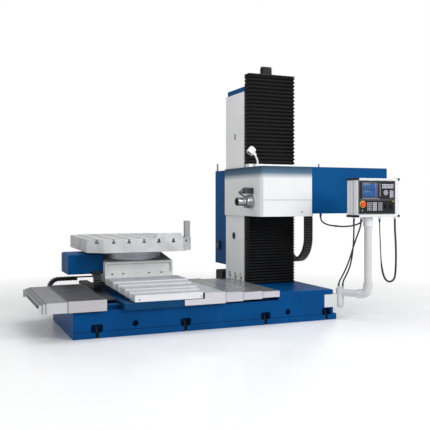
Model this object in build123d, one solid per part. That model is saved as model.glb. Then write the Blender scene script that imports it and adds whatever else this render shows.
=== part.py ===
"""Horizontal boring mill with a travelling rotary table, a column with a side spindle head
and a swinging control pendant.

The bed lies along X with the column at its +X end, +Y points to the back and +Z points up.
The origin is the centre of the bed's underside. All sizes are in millimetres.
"""

from math import cos, pi, sin, tan
import os

from build123d import *

# Bed
BED_LENGTH = 2712
BED_WIDTH = 1104
BED_HEIGHT = 314
DECK = 238
FOOT_THICKNESS = 62
FOOT_LIP = 40
POCKET_INSET = 217
POCKET_PITCH = 853
LAST_POCKET_INSET = 80
POCKET_WIDTH = 112
POCKET_BOTTOM = 50
POCKET_HEIGHT = 76
POCKET_DEPTH = 90
POCKET_FILLET = 20
BOLT_SLOT = 30
PORT_RADIUS = 30
PORT_DEPTH = 60
PORT_Z = 112
PORT_INSETS = (576, 2175)
WAY_WIDTH = 110
WAY_SPACING = 760
WAY_RISE = 38
RECESS_WIDTH = 104
RECESS_DEPTH = 60
RECESS_BOTTOM = 130
RECESS_TOP = 268
BED_CHAMFER = 8

# Column
COLUMN_INSET = 63
COLUMN_WIDTH = 581
COLUMN_FRONT = 270
COLUMN_DEPTH = 505
COLUMN_WALL = 32
SEAT_MARGIN = 60
RAIL_WIDTH = 74
RAIL_DEPTH = 64
RAIL_INSET = 62
CAP_HEIGHT = 60
CAP_INSET = 6
CAP_BACK = 40
COLUMN_POCKETS = (90, 240, 400)
COLUMN_POCKET_WIDTH = 70
COLUMN_POCKET_HEIGHT = 66
COLUMN_POCKET_DEPTH = 20
COLUMN_POCKET_RISE = 34
PORTHOLE_WIDTH = 88
PORTHOLE_HEIGHT = 84
PORTHOLE_BACK = 228
PORTHOLE_Z = 834

# Bellows on the column's front
BELLOWS_TOP = 2650
BELLOWS_DEPTH = 131
BELLOWS_WALL = 40
BELLOWS_GAP = 3
COLUMN_DROP = 178
UPPER_FOLDS = 24
LOWER_FOLDS = 24
FOLD_DEPTH = 14
PLATE_THICKNESS = 8
PLATE_TAB = 12
MOTOR_SIZE = 120
MOTOR_HEIGHT = 96
MOTOR_LEFT = 95
MOTOR_BACK = 60
MOTOR_FILLET = 16

# Cabinet and motor behind the column
CABINET_BOTTOM = 475
CABINET_TOP = 1607
CABINET_DEPTH = 362
CABINET_LEFT_INSET = 14
CABINET_RIGHT_INSET = 40
CABINET_PAD = 2
CABINET_PAD_INSET = 90
ISOLATOR_SIZE = (18, 90, 110)
ISOLATOR_BACK = 194
ISOLATOR_BOTTOM = 640
BEACON_RADIUS = 11
BEACON_HEIGHT = 92
FEED_MOTOR_SIZE = (220, 200, 200)
FEED_MOTOR_BOTTOM = 200
FEED_MOTOR_OUT = 20

# Sheet covers over the ways
SHEET = 3
SLIDE_GAP = 5
WIPER_GAP = 0.5
WIPER_LENGTH = 12
COVER_OVERHANG = 46
RIGHT_COVER_TOP = 360
COVER_SKIRT = 251
RIGHT_COVER_SHARES = (0, 0.2317, 0.4659, 0.7268, 1)
RIGHT_COVER_LAP = 30
LEFT_COVER_TOP = 354
LEFT_COVER_LENGTH = 349
LEFT_COVER_LEFTS = (249, 60, 30, 0)
LEFT_COVER_OUT = 300
CROSS_COVER_STEP = 15
CROSS_COVER_SKIRT = 62
CROSS_COVER_SHARES = (0, 0.2392, 0.5875, 0.7608, 1)
CROSS_COVER_DEPTHS = (337, 309, 260, 150, 178)
CROSS_COVER_FRONT = -21
CROSS_COVER_HALF = 335

# Saddle
SADDLE_INSET = 464
SADDLE_WIDTH = 776
SADDLE_BACK = 1104
SADDLE_TOP = 340
SHOULDER_TOP = 304
APRON_WIDTH = 203
APRON_TOP = 306
CROSS_WAY_TOP = 360
CROSS_WAY_WIDTH = 90
CROSS_WAY_SPACING = 480
LINK_BACK = 240
LINK_FRONT = -260
LINK_THICKNESS = 16

# Table slide, ring and rotary table
TABLE_INSET = 856
TABLE_Y = 702
BASE_LEFT_REACH = 362
BASE_RIGHT_REACH = 376
BASE_DEPTH = 800
BASE_BOTTOM = 434
BASE_TOP = 604
BASE_FOOT = 140
BASE_CROWN = 62
WINDOW_SILL = 48
WINDOW_HEIGHT = 100
WINDOW_SIDE = 14
WINDOW_DEPTH = 26
SILL_NOTCH_RADIUS = 14
SILL_NOTCHES = (60, 178, 460, 596)
RING_RADIUS = 352
RING_GROOVE = 8
TABLE_WIDTH = 1132
TABLE_DEPTH = 1184
TABLE_BOTTOM = 712
TABLE_TOP = 848
TABLE_CORNER = 140
TABLE_BORE_RADIUS = 40
TABLE_BORE_DEPTH = 60
SLOT_PITCH = 160
SLOT_WIDTH = 22
SLOT_NECK = 26
SLOT_FOOT_WIDTH = 38
SLOT_DEPTH = 44
TURN_GAP = 0.4
HUB_RADIUS = 130
HUB_LENGTH = 60
FIT = 0.05
STOP_LENGTH = 298
STOP_INSET = 152
STOP_HEIGHT = 52
STOP_DEPTH = 90
STOP_SLOPE = 34
POST_STOP_WIDTH = 64
POST_STOP_DEPTH = 44
POST_STOP_HEIGHT = 178
POST_STOP_INSETS = (68, 146)
DRIVE_LENGTH = 366
DRIVE_FRONT = 400
DRIVE_DEPTH = 389
DRIVE_BOTTOM = 478
DRIVE_TOP = 689
DRIVE_CHAMFER = 14

# Energy chains
LINK_PITCH = 42
LINK_GAP = 5
LINK_NOTCH = 5
CHAIN_SEAT = 0.3
HEAD_CHAIN_WIDTH = 95
HEAD_CHAIN_HEIGHT = 35
HEAD_CHAIN_RADIUS = 272
HEAD_CHAIN_OUT = 66
HEAD_CHAIN_FRONT = 22
HEAD_CHAIN_CENTRE_Z = 826
HEAD_CHAIN_END_Z = 1300
TABLE_CHAIN_WIDTH = 80
TABLE_CHAIN_HEIGHT = 34
TABLE_CHAIN_RADIUS = 82
TABLE_CHAIN_CENTRE_Y = 395
TABLE_CHAIN_END_Y = 1036
TABLE_CHAIN_MOVING_Y = 700
BED_CHAIN_WIDTH = 80
BED_CHAIN_HEIGHT = 34
BED_CHAIN_RADIUS = 96
BED_CHAIN_OUT = 56
BED_CHAIN_CENTRE_X = 71
BED_CHAIN_END_X = 620
BED_CHAIN_MOVING_X = 256
BED_CHAIN_Z = 202
TRAY_THICKNESS = 3
TRAY_WALL = 22
TRAY_MARGIN = 10

# Spindle head
HEAD_LEFT_OUT = 18
HEAD_FRONT = -186
HEAD_BOTTOM = 1072
HEAD_TOP = 1614
HEAD_RIGHT_OUT = 28
HEAD_CORNER = 50
HEAD_SKIN = 8
BAND_BOTTOM = 1485
SEAM_Z = 1250
SEAM_WIDTH = 4
SEAM_DEPTH = 2
SIDE_PLATE_BACK = 6
RAIL_FIT = 0.5
SHOE_WIDTH = 40
TOP_PLATE_HEIGHT = 36
TOP_PLATE_OUT = 10
TOP_PLATE_FRONT = 20
TAIL_LENGTH = 1008
TAIL_BOTTOM = 1100
TAIL_BACK = 110
TAIL_CHAMFER = 12
TAIL_PIN_RADIUS = 7
TAIL_PIN_HEIGHT = 44
TAIL_PIN_PLACE = 211
TAIL_GLAND_INSET = 124
TAIL_GLAND_BACK = 22
SPINDLE_Y = 16
SPINDLE_Z = 1232
BOSS_RADIUS = 84
BOSS_LENGTH = 10
SLEEVE_RADIUS = 74
SLEEVE_NOSE_RADIUS = 66
SLEEVE_NOSE = 30
SLEEVE_LENGTH = 89
SLEEVE_INSIDE = 500
SPINDLE_RADIUS = 45
SPINDLE_OUT = 98
SPINDLE_LENGTH = 788
SPINDLE_RIM = 6
TAPER_RADIUS = 22
TAPER_LENGTH = 80
NOZZLE_BLOCK = (108, 60, 64)
NOZZLE_BLOCK_GAP = 2
NOZZLE_RADIUS = 9
NOZZLE_REACH = 76
NOZZLE_DROP = 70

# Work lamp
LAMP_BASE = (86, 80, 26)
LAMP_BASE_BACK = 20
LAMP_NECK_X = 44
LAMP_NECK_RADIUS = 10
LAMP_PIVOT_X = 12
LAMP_PIVOT_Y = -20
LAMP_PIVOT_RISE = 131
LAMP_EYE_RADIUS = 13
LAMP_EYE_WIDTH = 16
LAMP_PIN_RADIUS = 5
LAMP_EAR = 5
LAMP_RADIUS = 39
LAMP_LENGTH = 74
LAMP_OFFSET = 57
LAMP_AIM = (-1, 0, -1.1)

# Control pendant
PIVOT_OUT = 100
PIVOT_IN = 22
PIVOT_RADIUS = 42
PIVOT_FILLET = 10
PIN_RADIUS = 16
PIVOT_BOTTOM = 130
PIVOT_TOP = 320
PIVOT_PLATE = 22
ARM_Z = 275
POST_RADIUS = 38
POST_DX = 174
POST_DY = -251
POST_TOP = 970
ELBOW_RADIUS = 72
COLLAR_RADIUS = 48
PENDANT_LEFT = 195
PENDANT_WIDTH = 518
PENDANT_FRONT = 95
PENDANT_DEPTH = 190
PENDANT_BOTTOM = 1076
PENDANT_TOP = 1472
PENDANT_FILLET = 14
PENDANT_GROOVE = 12
PENDANT_GROOVE_DEPTH = 5
CAP_SIZE = 24
PANEL_LEFT = 11
PANEL_WIDTH = 451
PANEL_BOTTOM = 30
PANEL_HEIGHT = 342
PANEL_THICKNESS = 4
SCREEN_SIZE = (176, 150)
SCREEN_PLACE = (50, 168)
STOP_BUTTON_RADIUS = 27
STOP_BUTTON_STEM = 14
STOP_BUTTON_LENGTH = 24
STOP_BUTTON_PLACE = (50, 100)
KNOB_RADIUS = 20
KNOB_LENGTH = 16
KNOB_PLACES = ((338, 81), (408, 81))

# Cables and hose, with their glands
CABLE_RADIUS = 6.5
HOSE_RADIUS = 7
GLAND_RADIUS = 13
GLAND_LENGTH = 22

# Values worked out from the ones above
BED_LEFT = -BED_LENGTH / 2
BED_RIGHT = BED_LENGTH / 2
BED_FRONT = -BED_WIDTH / 2
BED_BACK = BED_WIDTH / 2
WAY_TOP = DECK + WAY_RISE
COLUMN_RIGHT = BED_RIGHT - COLUMN_INSET
COLUMN_LEFT = COLUMN_RIGHT - COLUMN_WIDTH
COLUMN_X = COLUMN_LEFT + COLUMN_WIDTH / 2
COLUMN_BACK = COLUMN_FRONT + COLUMN_DEPTH
COLUMN_TOP = BELLOWS_TOP - COLUMN_DROP
BELLOWS_FRONT = COLUMN_FRONT - BELLOWS_DEPTH
RAIL_FRONT = COLUMN_FRONT - RAIL_DEPTH
RAIL_LEFTS = (COLUMN_LEFT + RAIL_INSET, COLUMN_RIGHT - RAIL_INSET - RAIL_WIDTH)
CABINET_FRONT = COLUMN_BACK + CABINET_PAD
CABINET_LEFT = COLUMN_LEFT + CABINET_LEFT_INSET
SADDLE_LEFT = BED_LEFT + SADDLE_INSET
SADDLE_RIGHT = SADDLE_LEFT + SADDLE_WIDTH
COVER_HALF = BED_WIDTH / 2 + COVER_OVERHANG
COVER_STEP = SHEET + SLIDE_GAP
RIGHT_COVER_START = SADDLE_RIGHT + COVER_STEP
LEFT_COVER_START = BED_LEFT - LEFT_COVER_OUT
TABLE_X = BED_LEFT + TABLE_INSET
BASE_LEFT = TABLE_X - BASE_LEFT_REACH
BASE_RIGHT = TABLE_X + BASE_RIGHT_REACH
BASE_X = (BASE_LEFT + BASE_RIGHT) / 2
BASE_FRONT = TABLE_Y - BASE_DEPTH / 2
BASE_BACK = TABLE_Y + BASE_DEPTH / 2
CROSS_COVER_X = BASE_X + 30
TABLE_FRONT = TABLE_Y - TABLE_DEPTH / 2
HEAD_LEFT = COLUMN_LEFT - HEAD_LEFT_OUT
HEAD_RIGHT = COLUMN_RIGHT + HEAD_RIGHT_OUT
TAIL_RIGHT = HEAD_RIGHT + TAIL_LENGTH
PIVOT_X = BED_RIGHT + PIVOT_OUT
PIVOT_Y = BED_FRONT + PIVOT_IN
POST_X = PIVOT_X + POST_DX
POST_Y = PIVOT_Y + POST_DY
BOX_LEFT = POST_X - PENDANT_LEFT
BOX_RIGHT = BOX_LEFT + PENDANT_WIDTH
BOX_FRONT = POST_Y - PENDANT_FRONT
BOX_BACK = BOX_FRONT + PENDANT_DEPTH
PANEL_X = BOX_LEFT + PANEL_LEFT
PANEL_Z = PENDANT_BOTTOM + PANEL_BOTTOM
PANEL_FACE = BOX_FRONT - PANEL_THICKNESS
HEAD_CHAIN_LEFT = COLUMN_RIGHT + HEAD_CHAIN_OUT
TABLE_CHAIN_RIGHT = SADDLE_LEFT - TRAY_MARGIN
TABLE_CHAIN_Z = SHOULDER_TOP + TRAY_THICKNESS + CHAIN_SEAT
BED_CHAIN_FRONT = BED_BACK + BED_CHAIN_OUT
LAMP_X = HEAD_LEFT + LAMP_PIVOT_X
LAMP_Z = HEAD_TOP + LAMP_PIVOT_RISE


def slab(x0, x1, y0, y1, z0, z1):
    """A rectangular block between the given limits."""
    return Pos(x0, y0, z0) * Box(x1 - x0, y1 - y0, z1 - z0, align=(Align.MIN, Align.MIN, Align.MIN))


def along_x(points, x0, x1):
    """A (y, z) outline drawn out along X."""
    return extrude(Plane.YZ.offset(x0) * make_face(Polyline(*points, close=True)), x1 - x0)


def along_y(points, y0, y1):
    """An (x, z) outline drawn out along Y."""
    plane = Plane(origin=(0, y1, 0), x_dir=(1, 0, 0), z_dir=(0, -1, 0))
    return extrude(plane * make_face(Polyline(*points, close=True)), y1 - y0)


def along_z(points, z0, z1):
    """An (x, y) outline drawn out along Z."""
    return extrude(Plane.XY.offset(z0) * make_face(Polyline(*points, close=True)), z1 - z0)


def rod(start, direction, radius, length):
    """A round bar from a start point along a direction."""
    return extrude(Plane(origin=start, z_dir=direction) * Circle(radius), length)


def rounded_edges(shape, axis, radius):
    """The shape with its edges along one axis rounded."""
    return fillet(shape.edges().filter_by(axis), radius)


# Bed


def foot_pocket(x):
    """Cut for one levelling bolt in the bed's front, with a slot for the bolt below it."""
    half = POCKET_WIDTH / 2
    top = POCKET_BOTTOM + POCKET_HEIGHT
    pocket = slab(x - half, x + half, BED_FRONT, BED_FRONT + POCKET_DEPTH, POCKET_BOTTOM, top)
    pocket = rounded_edges(pocket, Axis.Y, POCKET_FILLET)
    slot = slab(x - BOLT_SLOT / 2, x + BOLT_SLOT / 2, BED_FRONT, BED_FRONT + POCKET_DEPTH / 2, 0, top / 2)
    return pocket + slot


def bed():
    """Cast bed with its two ways, foot pockets, side ports and the raised seat of the column."""
    body = slab(BED_LEFT, BED_RIGHT, BED_FRONT, BED_BACK, 0, DECK)
    body += slab(BED_RIGHT, BED_RIGHT + FOOT_LIP, BED_FRONT, BED_BACK, 0, FOOT_THICKNESS)
    seat = slab(COLUMN_LEFT, BED_RIGHT, BED_FRONT, COLUMN_BACK + SEAT_MARGIN, 0, BED_HEIGHT)
    body += chamfer(seat.faces().sort_by(Axis.Z)[-1].edges(), BED_CHAMFER)
    pockets = [BED_LEFT + POCKET_INSET + index * POCKET_PITCH for index in range(3)]
    for x in pockets + [BED_RIGHT - LAST_POCKET_INSET]:
        cut = foot_pocket(x)
        body -= cut
        if x < COLUMN_LEFT:
            body -= mirror(cut, about=Plane.XZ)
    for inset in PORT_INSETS:
        body -= rod((BED_LEFT + inset, BED_FRONT, PORT_Z), (0, 1, 0), PORT_RADIUS, PORT_DEPTH)
    recess = BED_RIGHT - RECESS_WIDTH
    body -= slab(recess, BED_RIGHT, BED_FRONT, BED_FRONT + RECESS_DEPTH, RECESS_BOTTOM, RECESS_TOP)
    for side in (-1, 1):
        y = side * WAY_SPACING / 2
        body += slab(BED_LEFT, COLUMN_LEFT, y - WAY_WIDTH / 2, y + WAY_WIDTH / 2, DECK, WAY_TOP)
    return body


# Column


def column():
    """Hollow column casting with its two guide rails, bolt pockets and an oval port."""
    body = slab(COLUMN_LEFT, COLUMN_RIGHT, COLUMN_FRONT, COLUMN_BACK, BED_HEIGHT, COLUMN_TOP)
    body -= slab(
        COLUMN_LEFT + COLUMN_WALL,
        COLUMN_RIGHT - COLUMN_WALL,
        COLUMN_FRONT + COLUMN_WALL,
        COLUMN_BACK - COLUMN_WALL,
        BED_HEIGHT + COLUMN_WALL,
        COLUMN_TOP - COLUMN_WALL,
    )
    for inset in COLUMN_POCKETS:
        y = COLUMN_FRONT + inset
        half = COLUMN_POCKET_WIDTH / 2
        bottom = BED_HEIGHT + COLUMN_POCKET_RISE
        depth = COLUMN_LEFT + COLUMN_POCKET_DEPTH
        pocket = slab(COLUMN_LEFT, depth, y - half, y + half, bottom, bottom + COLUMN_POCKET_HEIGHT)
        body -= rounded_edges(pocket, Axis.X, half / 2)
        body -= slab(COLUMN_LEFT, depth, y - BOLT_SLOT / 2, y + BOLT_SLOT / 2, BED_HEIGHT, bottom)
    port_y = COLUMN_BACK - PORTHOLE_BACK
    plane = Plane(origin=(COLUMN_LEFT, port_y, PORTHOLE_Z), x_dir=(0, 1, 0), z_dir=(1, 0, 0))
    body -= extrude(plane * Ellipse(PORTHOLE_WIDTH / 2, PORTHOLE_HEIGHT / 2), COLUMN_WALL)
    for x in RAIL_LEFTS:
        body += slab(x, x + RAIL_WIDTH, RAIL_FRONT, COLUMN_FRONT, BED_HEIGHT, COLUMN_TOP)
    end = slab(
        COLUMN_RIGHT,
        HEAD_CHAIN_LEFT + HEAD_CHAIN_WIDTH,
        HEAD_CHAIN_FRONT + 2 * HEAD_CHAIN_RADIUS,
        HEAD_CHAIN_FRONT + 2 * HEAD_CHAIN_RADIUS + HEAD_CHAIN_HEIGHT,
        HEAD_CHAIN_END_Z,
        HEAD_CHAIN_END_Z + PLATE_THICKNESS,
    )
    return body + end


def column_cap():
    """Sheet cap over the column's top."""
    cap = slab(
        COLUMN_LEFT + CAP_INSET,
        COLUMN_RIGHT - CAP_INSET,
        COLUMN_FRONT + CAP_INSET,
        COLUMN_BACK - CAP_BACK,
        COLUMN_TOP,
        COLUMN_TOP + CAP_HEIGHT,
    )
    return chamfer(cap.faces().sort_by(Axis.Z)[-1].edges(), CAP_INSET)


def head_plate():
    """Bracket on the column's top that carries the upper bellows' end and the lift motor."""
    top = BELLOWS_TOP + PLATE_THICKNESS
    plate = slab(COLUMN_LEFT, COLUMN_RIGHT, BELLOWS_FRONT, COLUMN_FRONT, BELLOWS_TOP, top)
    inner = (COLUMN_LEFT + BELLOWS_WALL + SLIDE_GAP, COLUMN_RIGHT - BELLOWS_WALL - SLIDE_GAP)
    return plate + slab(*inner, COLUMN_FRONT - PLATE_TAB, COLUMN_FRONT, COLUMN_TOP, BELLOWS_TOP)


def top_motor():
    """Lift motor housing that stands on the head plate."""
    x = COLUMN_X - MOTOR_LEFT
    y = BELLOWS_FRONT + MOTOR_BACK
    z = BELLOWS_TOP + PLATE_THICKNESS
    motor = slab(x, x + MOTOR_SIZE, y, y + MOTOR_SIZE / 2, z, z + MOTOR_HEIGHT)
    return rounded_edges(motor, Axis.Z, MOTOR_FILLET)


def zigzag(bottom, top, folds, edge, inward):
    """Points of a pleated edge from the bottom up, with each fold's tip on the edge."""
    pitch = (top - bottom) / folds
    points = []
    for index in range(folds):
        points.append((edge + inward, bottom + index * pitch))
        points.append((edge, bottom + (index + 0.5) * pitch))
    return points + [(edge + inward, top)]


def bellows(bottom, top, folds):
    """Pleated bellows that wrap the rails on three sides, open towards the column."""
    back = COLUMN_FRONT - BELLOWS_GAP
    side = [(back, top), (back, bottom)] + zigzag(bottom, top, folds, BELLOWS_FRONT, FOLD_DEPTH)
    left = zigzag(bottom, top, folds, COLUMN_LEFT, FOLD_DEPTH)
    right = zigzag(bottom, top, folds, COLUMN_RIGHT, -FOLD_DEPTH)
    solid = along_x(side, COLUMN_LEFT, COLUMN_RIGHT) & along_y(left + right[::-1], BELLOWS_FRONT, back)
    inside = slab(
        COLUMN_LEFT + BELLOWS_WALL,
        COLUMN_RIGHT - BELLOWS_WALL,
        BELLOWS_FRONT + BELLOWS_WALL,
        COLUMN_FRONT,
        bottom,
        top,
    )
    return solid - inside


# Cabinet and motor behind the column


def cabinet():
    """Electrical cabinet with a raised pad that bolts to the column's back."""
    right = COLUMN_RIGHT - CABINET_RIGHT_INSET
    back = CABINET_FRONT + CABINET_DEPTH
    body = slab(CABINET_LEFT, right, CABINET_FRONT, back, CABINET_BOTTOM, CABINET_TOP)
    body = rounded_edges(body, Axis.Z, CAP_INSET)
    inset = CABINET_PAD_INSET
    pad = slab(
        CABINET_LEFT + inset,
        right - inset,
        COLUMN_BACK,
        CABINET_FRONT,
        CABINET_BOTTOM + inset,
        CABINET_TOP - inset,
    )
    return body + pad


def isolator():
    """Main switch on the cabinet's left side."""
    deep, wide, tall = ISOLATOR_SIZE
    y = COLUMN_BACK + ISOLATOR_BACK
    switch = slab(CABINET_LEFT - deep, CABINET_LEFT, y, y + wide, ISOLATOR_BOTTOM, ISOLATOR_BOTTOM + tall)
    return rounded_edges(switch, Axis.X, BED_CHAMFER)


def signal_lamp():
    """Round signal lamp on the cabinet's top."""
    start = (CABINET_LEFT + 2 * BEACON_RADIUS, CABINET_FRONT + CABINET_DEPTH - 2 * BEACON_RADIUS, CABINET_TOP)
    lamp = rod(start, (0, 0, 1), BEACON_RADIUS, BEACON_HEIGHT)
    return fillet(lamp.faces().sort_by(Axis.Z)[-1].edges(), BEACON_RADIUS / 2)


def feed_motor():
    """Drive motor of the saddle, flanged to the bed's seat behind the column's foot."""
    wide, deep, tall = FEED_MOTOR_SIZE
    y = COLUMN_BACK + SEAT_MARGIN
    x = COLUMN_LEFT - FEED_MOTOR_OUT
    body = slab(x, x + wide, y, y + deep, FEED_MOTOR_BOTTOM, FEED_MOTOR_BOTTOM + tall)
    return rounded_edges(body, Axis.Y, MOTOR_FILLET)


# Covers over the bed ways


def channel(x0, x1, left_bottom, right_bottom, top, wall):
    """Outline of a folded sheet: a flat top with a skirt on each side."""
    return [
        (x0, left_bottom),
        (x0, top),
        (x1, top),
        (x1, right_bottom),
        (x1 - wall, right_bottom),
        (x1 - wall, top - wall),
        (x0 + wall, top - wall),
        (x0 + wall, left_bottom),
    ]


def bed_cover(x0, x1, top, skirt, half_width, wiper_x=None):
    """Folded sheet over the bed, with a wiper lip inside one end that runs on the next plate."""
    cover = along_x(channel(-half_width, half_width, skirt, skirt, top, SHEET), x0, x1)
    if wiper_x is not None:
        lip = channel(-half_width, half_width, skirt, skirt, top, COVER_STEP - WIPER_GAP)
        cover += along_x(lip, wiper_x, wiper_x + WIPER_LENGTH)
    return cover


def right_cover(index):
    """One plate of the telescopic cover between the saddle and the column."""
    shrink = index * COVER_STEP
    span = COLUMN_LEFT - RIGHT_COVER_START
    left = RIGHT_COVER_START + RIGHT_COVER_SHARES[index] * span
    right = RIGHT_COVER_START + RIGHT_COVER_SHARES[index + 1] * span
    top = RIGHT_COVER_TOP - shrink
    half = COVER_HALF - shrink
    if index == len(RIGHT_COVER_SHARES) - 2:
        return bed_cover(left, right, top, COVER_SKIRT + shrink, half)
    right += RIGHT_COVER_LAP
    return bed_cover(left, right, top, COVER_SKIRT + shrink, half, right - WIPER_LENGTH)


def left_cover(index):
    """One plate of the telescopic cover over the bed's left end."""
    shrink = index * COVER_STEP
    left = LEFT_COVER_START + LEFT_COVER_LEFTS[index]
    wiper = None if index == len(LEFT_COVER_LEFTS) - 1 else left
    right = left + LEFT_COVER_LENGTH
    return bed_cover(left, right, LEFT_COVER_TOP - shrink, COVER_SKIRT, COVER_HALF - shrink, wiper)


def left_cover_bracket():
    """Bracket on the bed's left end that holds the smallest cover plate."""
    edge = LEFT_COVER_START + WIPER_LENGTH
    top = LEFT_COVER_TOP - (len(LEFT_COVER_LEFTS) - 1) * COVER_STEP - SHEET
    half = WAY_SPACING / 2
    plate = slab(edge, BED_LEFT + RECESS_DEPTH, -half, half, WAY_TOP, WAY_TOP + PLATE_TAB)
    return plate + slab(edge, edge + PLATE_TAB, -half, half, WAY_TOP + PLATE_TAB, top)


# Saddle


def saddle():
    """Saddle casting over the bed's ways, with low shoulders and the cross ways on its top."""
    front = -COVER_HALF + SHEET
    body = slab(SADDLE_LEFT, SADDLE_RIGHT, front, SADDLE_BACK, DECK + SLIDE_GAP, SHOULDER_TOP)
    half = CROSS_COVER_HALF - COVER_STEP
    body += slab(CROSS_COVER_X - half, CROSS_COVER_X + half, front, SADDLE_BACK, SHOULDER_TOP, SADDLE_TOP)
    for side in (-1, 1):
        y = side * WAY_SPACING / 2
        fit = WAY_WIDTH / 2 + RAIL_FIT
        body -= slab(SADDLE_LEFT, SADDLE_RIGHT, y - fit, y + fit, DECK + SLIDE_GAP, WAY_TOP + RAIL_FIT)
        x = BASE_X + side * CROSS_WAY_SPACING / 2
        left = x - CROSS_WAY_WIDTH / 2
        right = left + CROSS_WAY_WIDTH
        body += slab(left, right, front + MOTOR_FILLET, SADDLE_BACK, SADDLE_TOP, CROSS_WAY_TOP)
    return body


def saddle_apron():
    """Apron sheet on the right half of the saddle's front."""
    right = RIGHT_COVER_START
    return slab(right - APRON_WIDTH, right, -COVER_HALF, -COVER_HALF + SHEET, COVER_SKIRT, APRON_TOP)


def cover_link():
    """Arm that ties the largest left cover plate to the saddle."""
    right = LEFT_COVER_START + LEFT_COVER_LEFTS[0] + LEFT_COVER_LENGTH
    left = right - PLATE_TAB
    plate = slab(left, SADDLE_LEFT, LINK_FRONT, LINK_BACK, SHOULDER_TOP - LINK_THICKNESS, SHOULDER_TOP)
    return plate + slab(left, right, LINK_FRONT, LINK_BACK, SHOULDER_TOP, LEFT_COVER_TOP - SHEET)


# Cross covers


def cross_cover(index):
    """One plate of the telescopic cover in front of the table slide."""
    last = len(CROSS_COVER_SHARES) - 1
    half = CROSS_COVER_HALF + (last - index) * CROSS_COVER_STEP
    top = BASE_BOTTOM - index * CROSS_COVER_STEP
    bottom = top - CROSS_COVER_SKIRT
    over_right_cover = CROSS_COVER_X + half > RIGHT_COVER_START
    right_bottom = max(bottom, RIGHT_COVER_TOP + SLIDE_GAP) if over_right_cover else bottom
    x0 = CROSS_COVER_X - half
    x1 = CROSS_COVER_X + half
    front = CROSS_COVER_FRONT - CROSS_COVER_SHARES[index] * (COVER_HALF + CROSS_COVER_FRONT)
    back = front + CROSS_COVER_DEPTHS[index]
    cover = along_y(channel(x0, x1, bottom, right_bottom, top, SHEET), front, back)
    if index < last:
        thick = CROSS_COVER_STEP - WIPER_GAP
        return cover + along_y(channel(x0, x1, bottom, right_bottom, top, thick), front, front + WIPER_LENGTH)
    return cover + slab(x0, x1, front, front + SHEET, bottom, top)


# Table slide


def table_base():
    """Cast slide that carries the table, with a crowned deck and a long recessed window in its front."""
    body = slab(BASE_LEFT, BASE_RIGHT, BASE_FRONT, BASE_BACK, BASE_BOTTOM, BASE_TOP)
    body = chamfer(body.faces().sort_by(Axis.Z)[-1].edges(), BED_CHAMFER)
    sill = BASE_BOTTOM + WINDOW_SILL
    left = BASE_LEFT + WINDOW_SIDE
    window = slab(
        left, BASE_RIGHT - WINDOW_SIDE, BASE_FRONT, BASE_FRONT + WINDOW_DEPTH, sill, sill + WINDOW_HEIGHT
    )
    body -= rounded_edges(window, Axis.Y, BED_CHAMFER)
    for inset in SILL_NOTCHES:
        body -= rod((left + inset, BASE_FRONT, sill), (0, 1, 0), SILL_NOTCH_RADIUS, WINDOW_DEPTH)
    for side in (-1, 1):
        x = BASE_X + side * CROSS_WAY_SPACING / 2
        foot = (x - BASE_FOOT / 2, x + BASE_FOOT / 2)
        body += slab(*foot, BASE_FRONT + MOTOR_FILLET, BASE_BACK, CROSS_WAY_TOP + WIPER_GAP, BASE_BOTTOM)
    crown = BASE_TOP + BASE_CROWN
    deck = [(BASE_FRONT + BED_CHAMFER, BASE_TOP), (BASE_BACK - BED_CHAMFER, BASE_TOP), (TABLE_Y, crown)]
    deck = along_x(deck, BASE_LEFT + BED_CHAMFER, BASE_RIGHT - BED_CHAMFER)
    return body + deck - rod((TABLE_X, TABLE_Y, BASE_TOP), (0, 0, 1), RING_RADIUS + FIT, BASE_CROWN)


def table_ring():
    """Turned ring that the rotary table sits on, with a groove round its rim."""
    top = TABLE_BOTTOM - TURN_GAP
    middle = (BASE_TOP + top) / 2
    inner = HUB_RADIUS + FIT
    outline = [
        (inner, BASE_TOP),
        (RING_RADIUS, BASE_TOP),
        (RING_RADIUS, middle - RING_GROOVE),
        (RING_RADIUS - RING_GROOVE, middle - RING_GROOVE),
        (RING_RADIUS - RING_GROOVE, middle + RING_GROOVE),
        (RING_RADIUS, middle + RING_GROOVE),
        (RING_RADIUS, top),
        (inner, top),
    ]
    return Pos(TABLE_X, TABLE_Y, 0) * revolve(make_face(Plane.XZ * Polyline(*outline, close=True)), Axis.Z)


def table_outline():
    """The table's square outline with its four corners cut."""
    half_x = TABLE_WIDTH / 2
    half_y = TABLE_DEPTH / 2
    cut = TABLE_CORNER
    quarter = [(half_x, half_y - cut), (half_x - cut, half_y)]
    right = [(x, -y) for x, y in quarter[::-1]] + quarter
    return [(TABLE_X + x, TABLE_Y + y) for x, y in right + [(-x, y) for x, y in right[::-1]]]


def rotary_table():
    """Square table with cut corners, seven T-slots along Y, a centre bore and a hub below."""
    body = along_z(table_outline(), TABLE_BOTTOM, TABLE_TOP)
    neck = TABLE_TOP - SLOT_NECK
    for index in range(-3, 4):
        x = TABLE_X + index * SLOT_PITCH
        narrow = SLOT_WIDTH / 2
        wide = SLOT_FOOT_WIDTH / 2
        right = [(narrow, TABLE_TOP), (narrow, neck), (wide, neck), (wide, TABLE_TOP - SLOT_DEPTH)]
        tee = [(x + dx, z) for dx, z in right] + [(x - dx, z) for dx, z in right[::-1]]
        body -= along_y(tee, TABLE_FRONT, TABLE_FRONT + TABLE_DEPTH)
    body += rod((TABLE_X, TABLE_Y, TABLE_BOTTOM - HUB_LENGTH), (0, 0, 1), HUB_RADIUS, HUB_LENGTH)
    bore_start = (TABLE_X, TABLE_Y, TABLE_TOP - TABLE_BORE_DEPTH)
    body -= rod(bore_start, (0, 0, 1), TABLE_BORE_RADIUS, TABLE_BORE_DEPTH)
    return body


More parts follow.
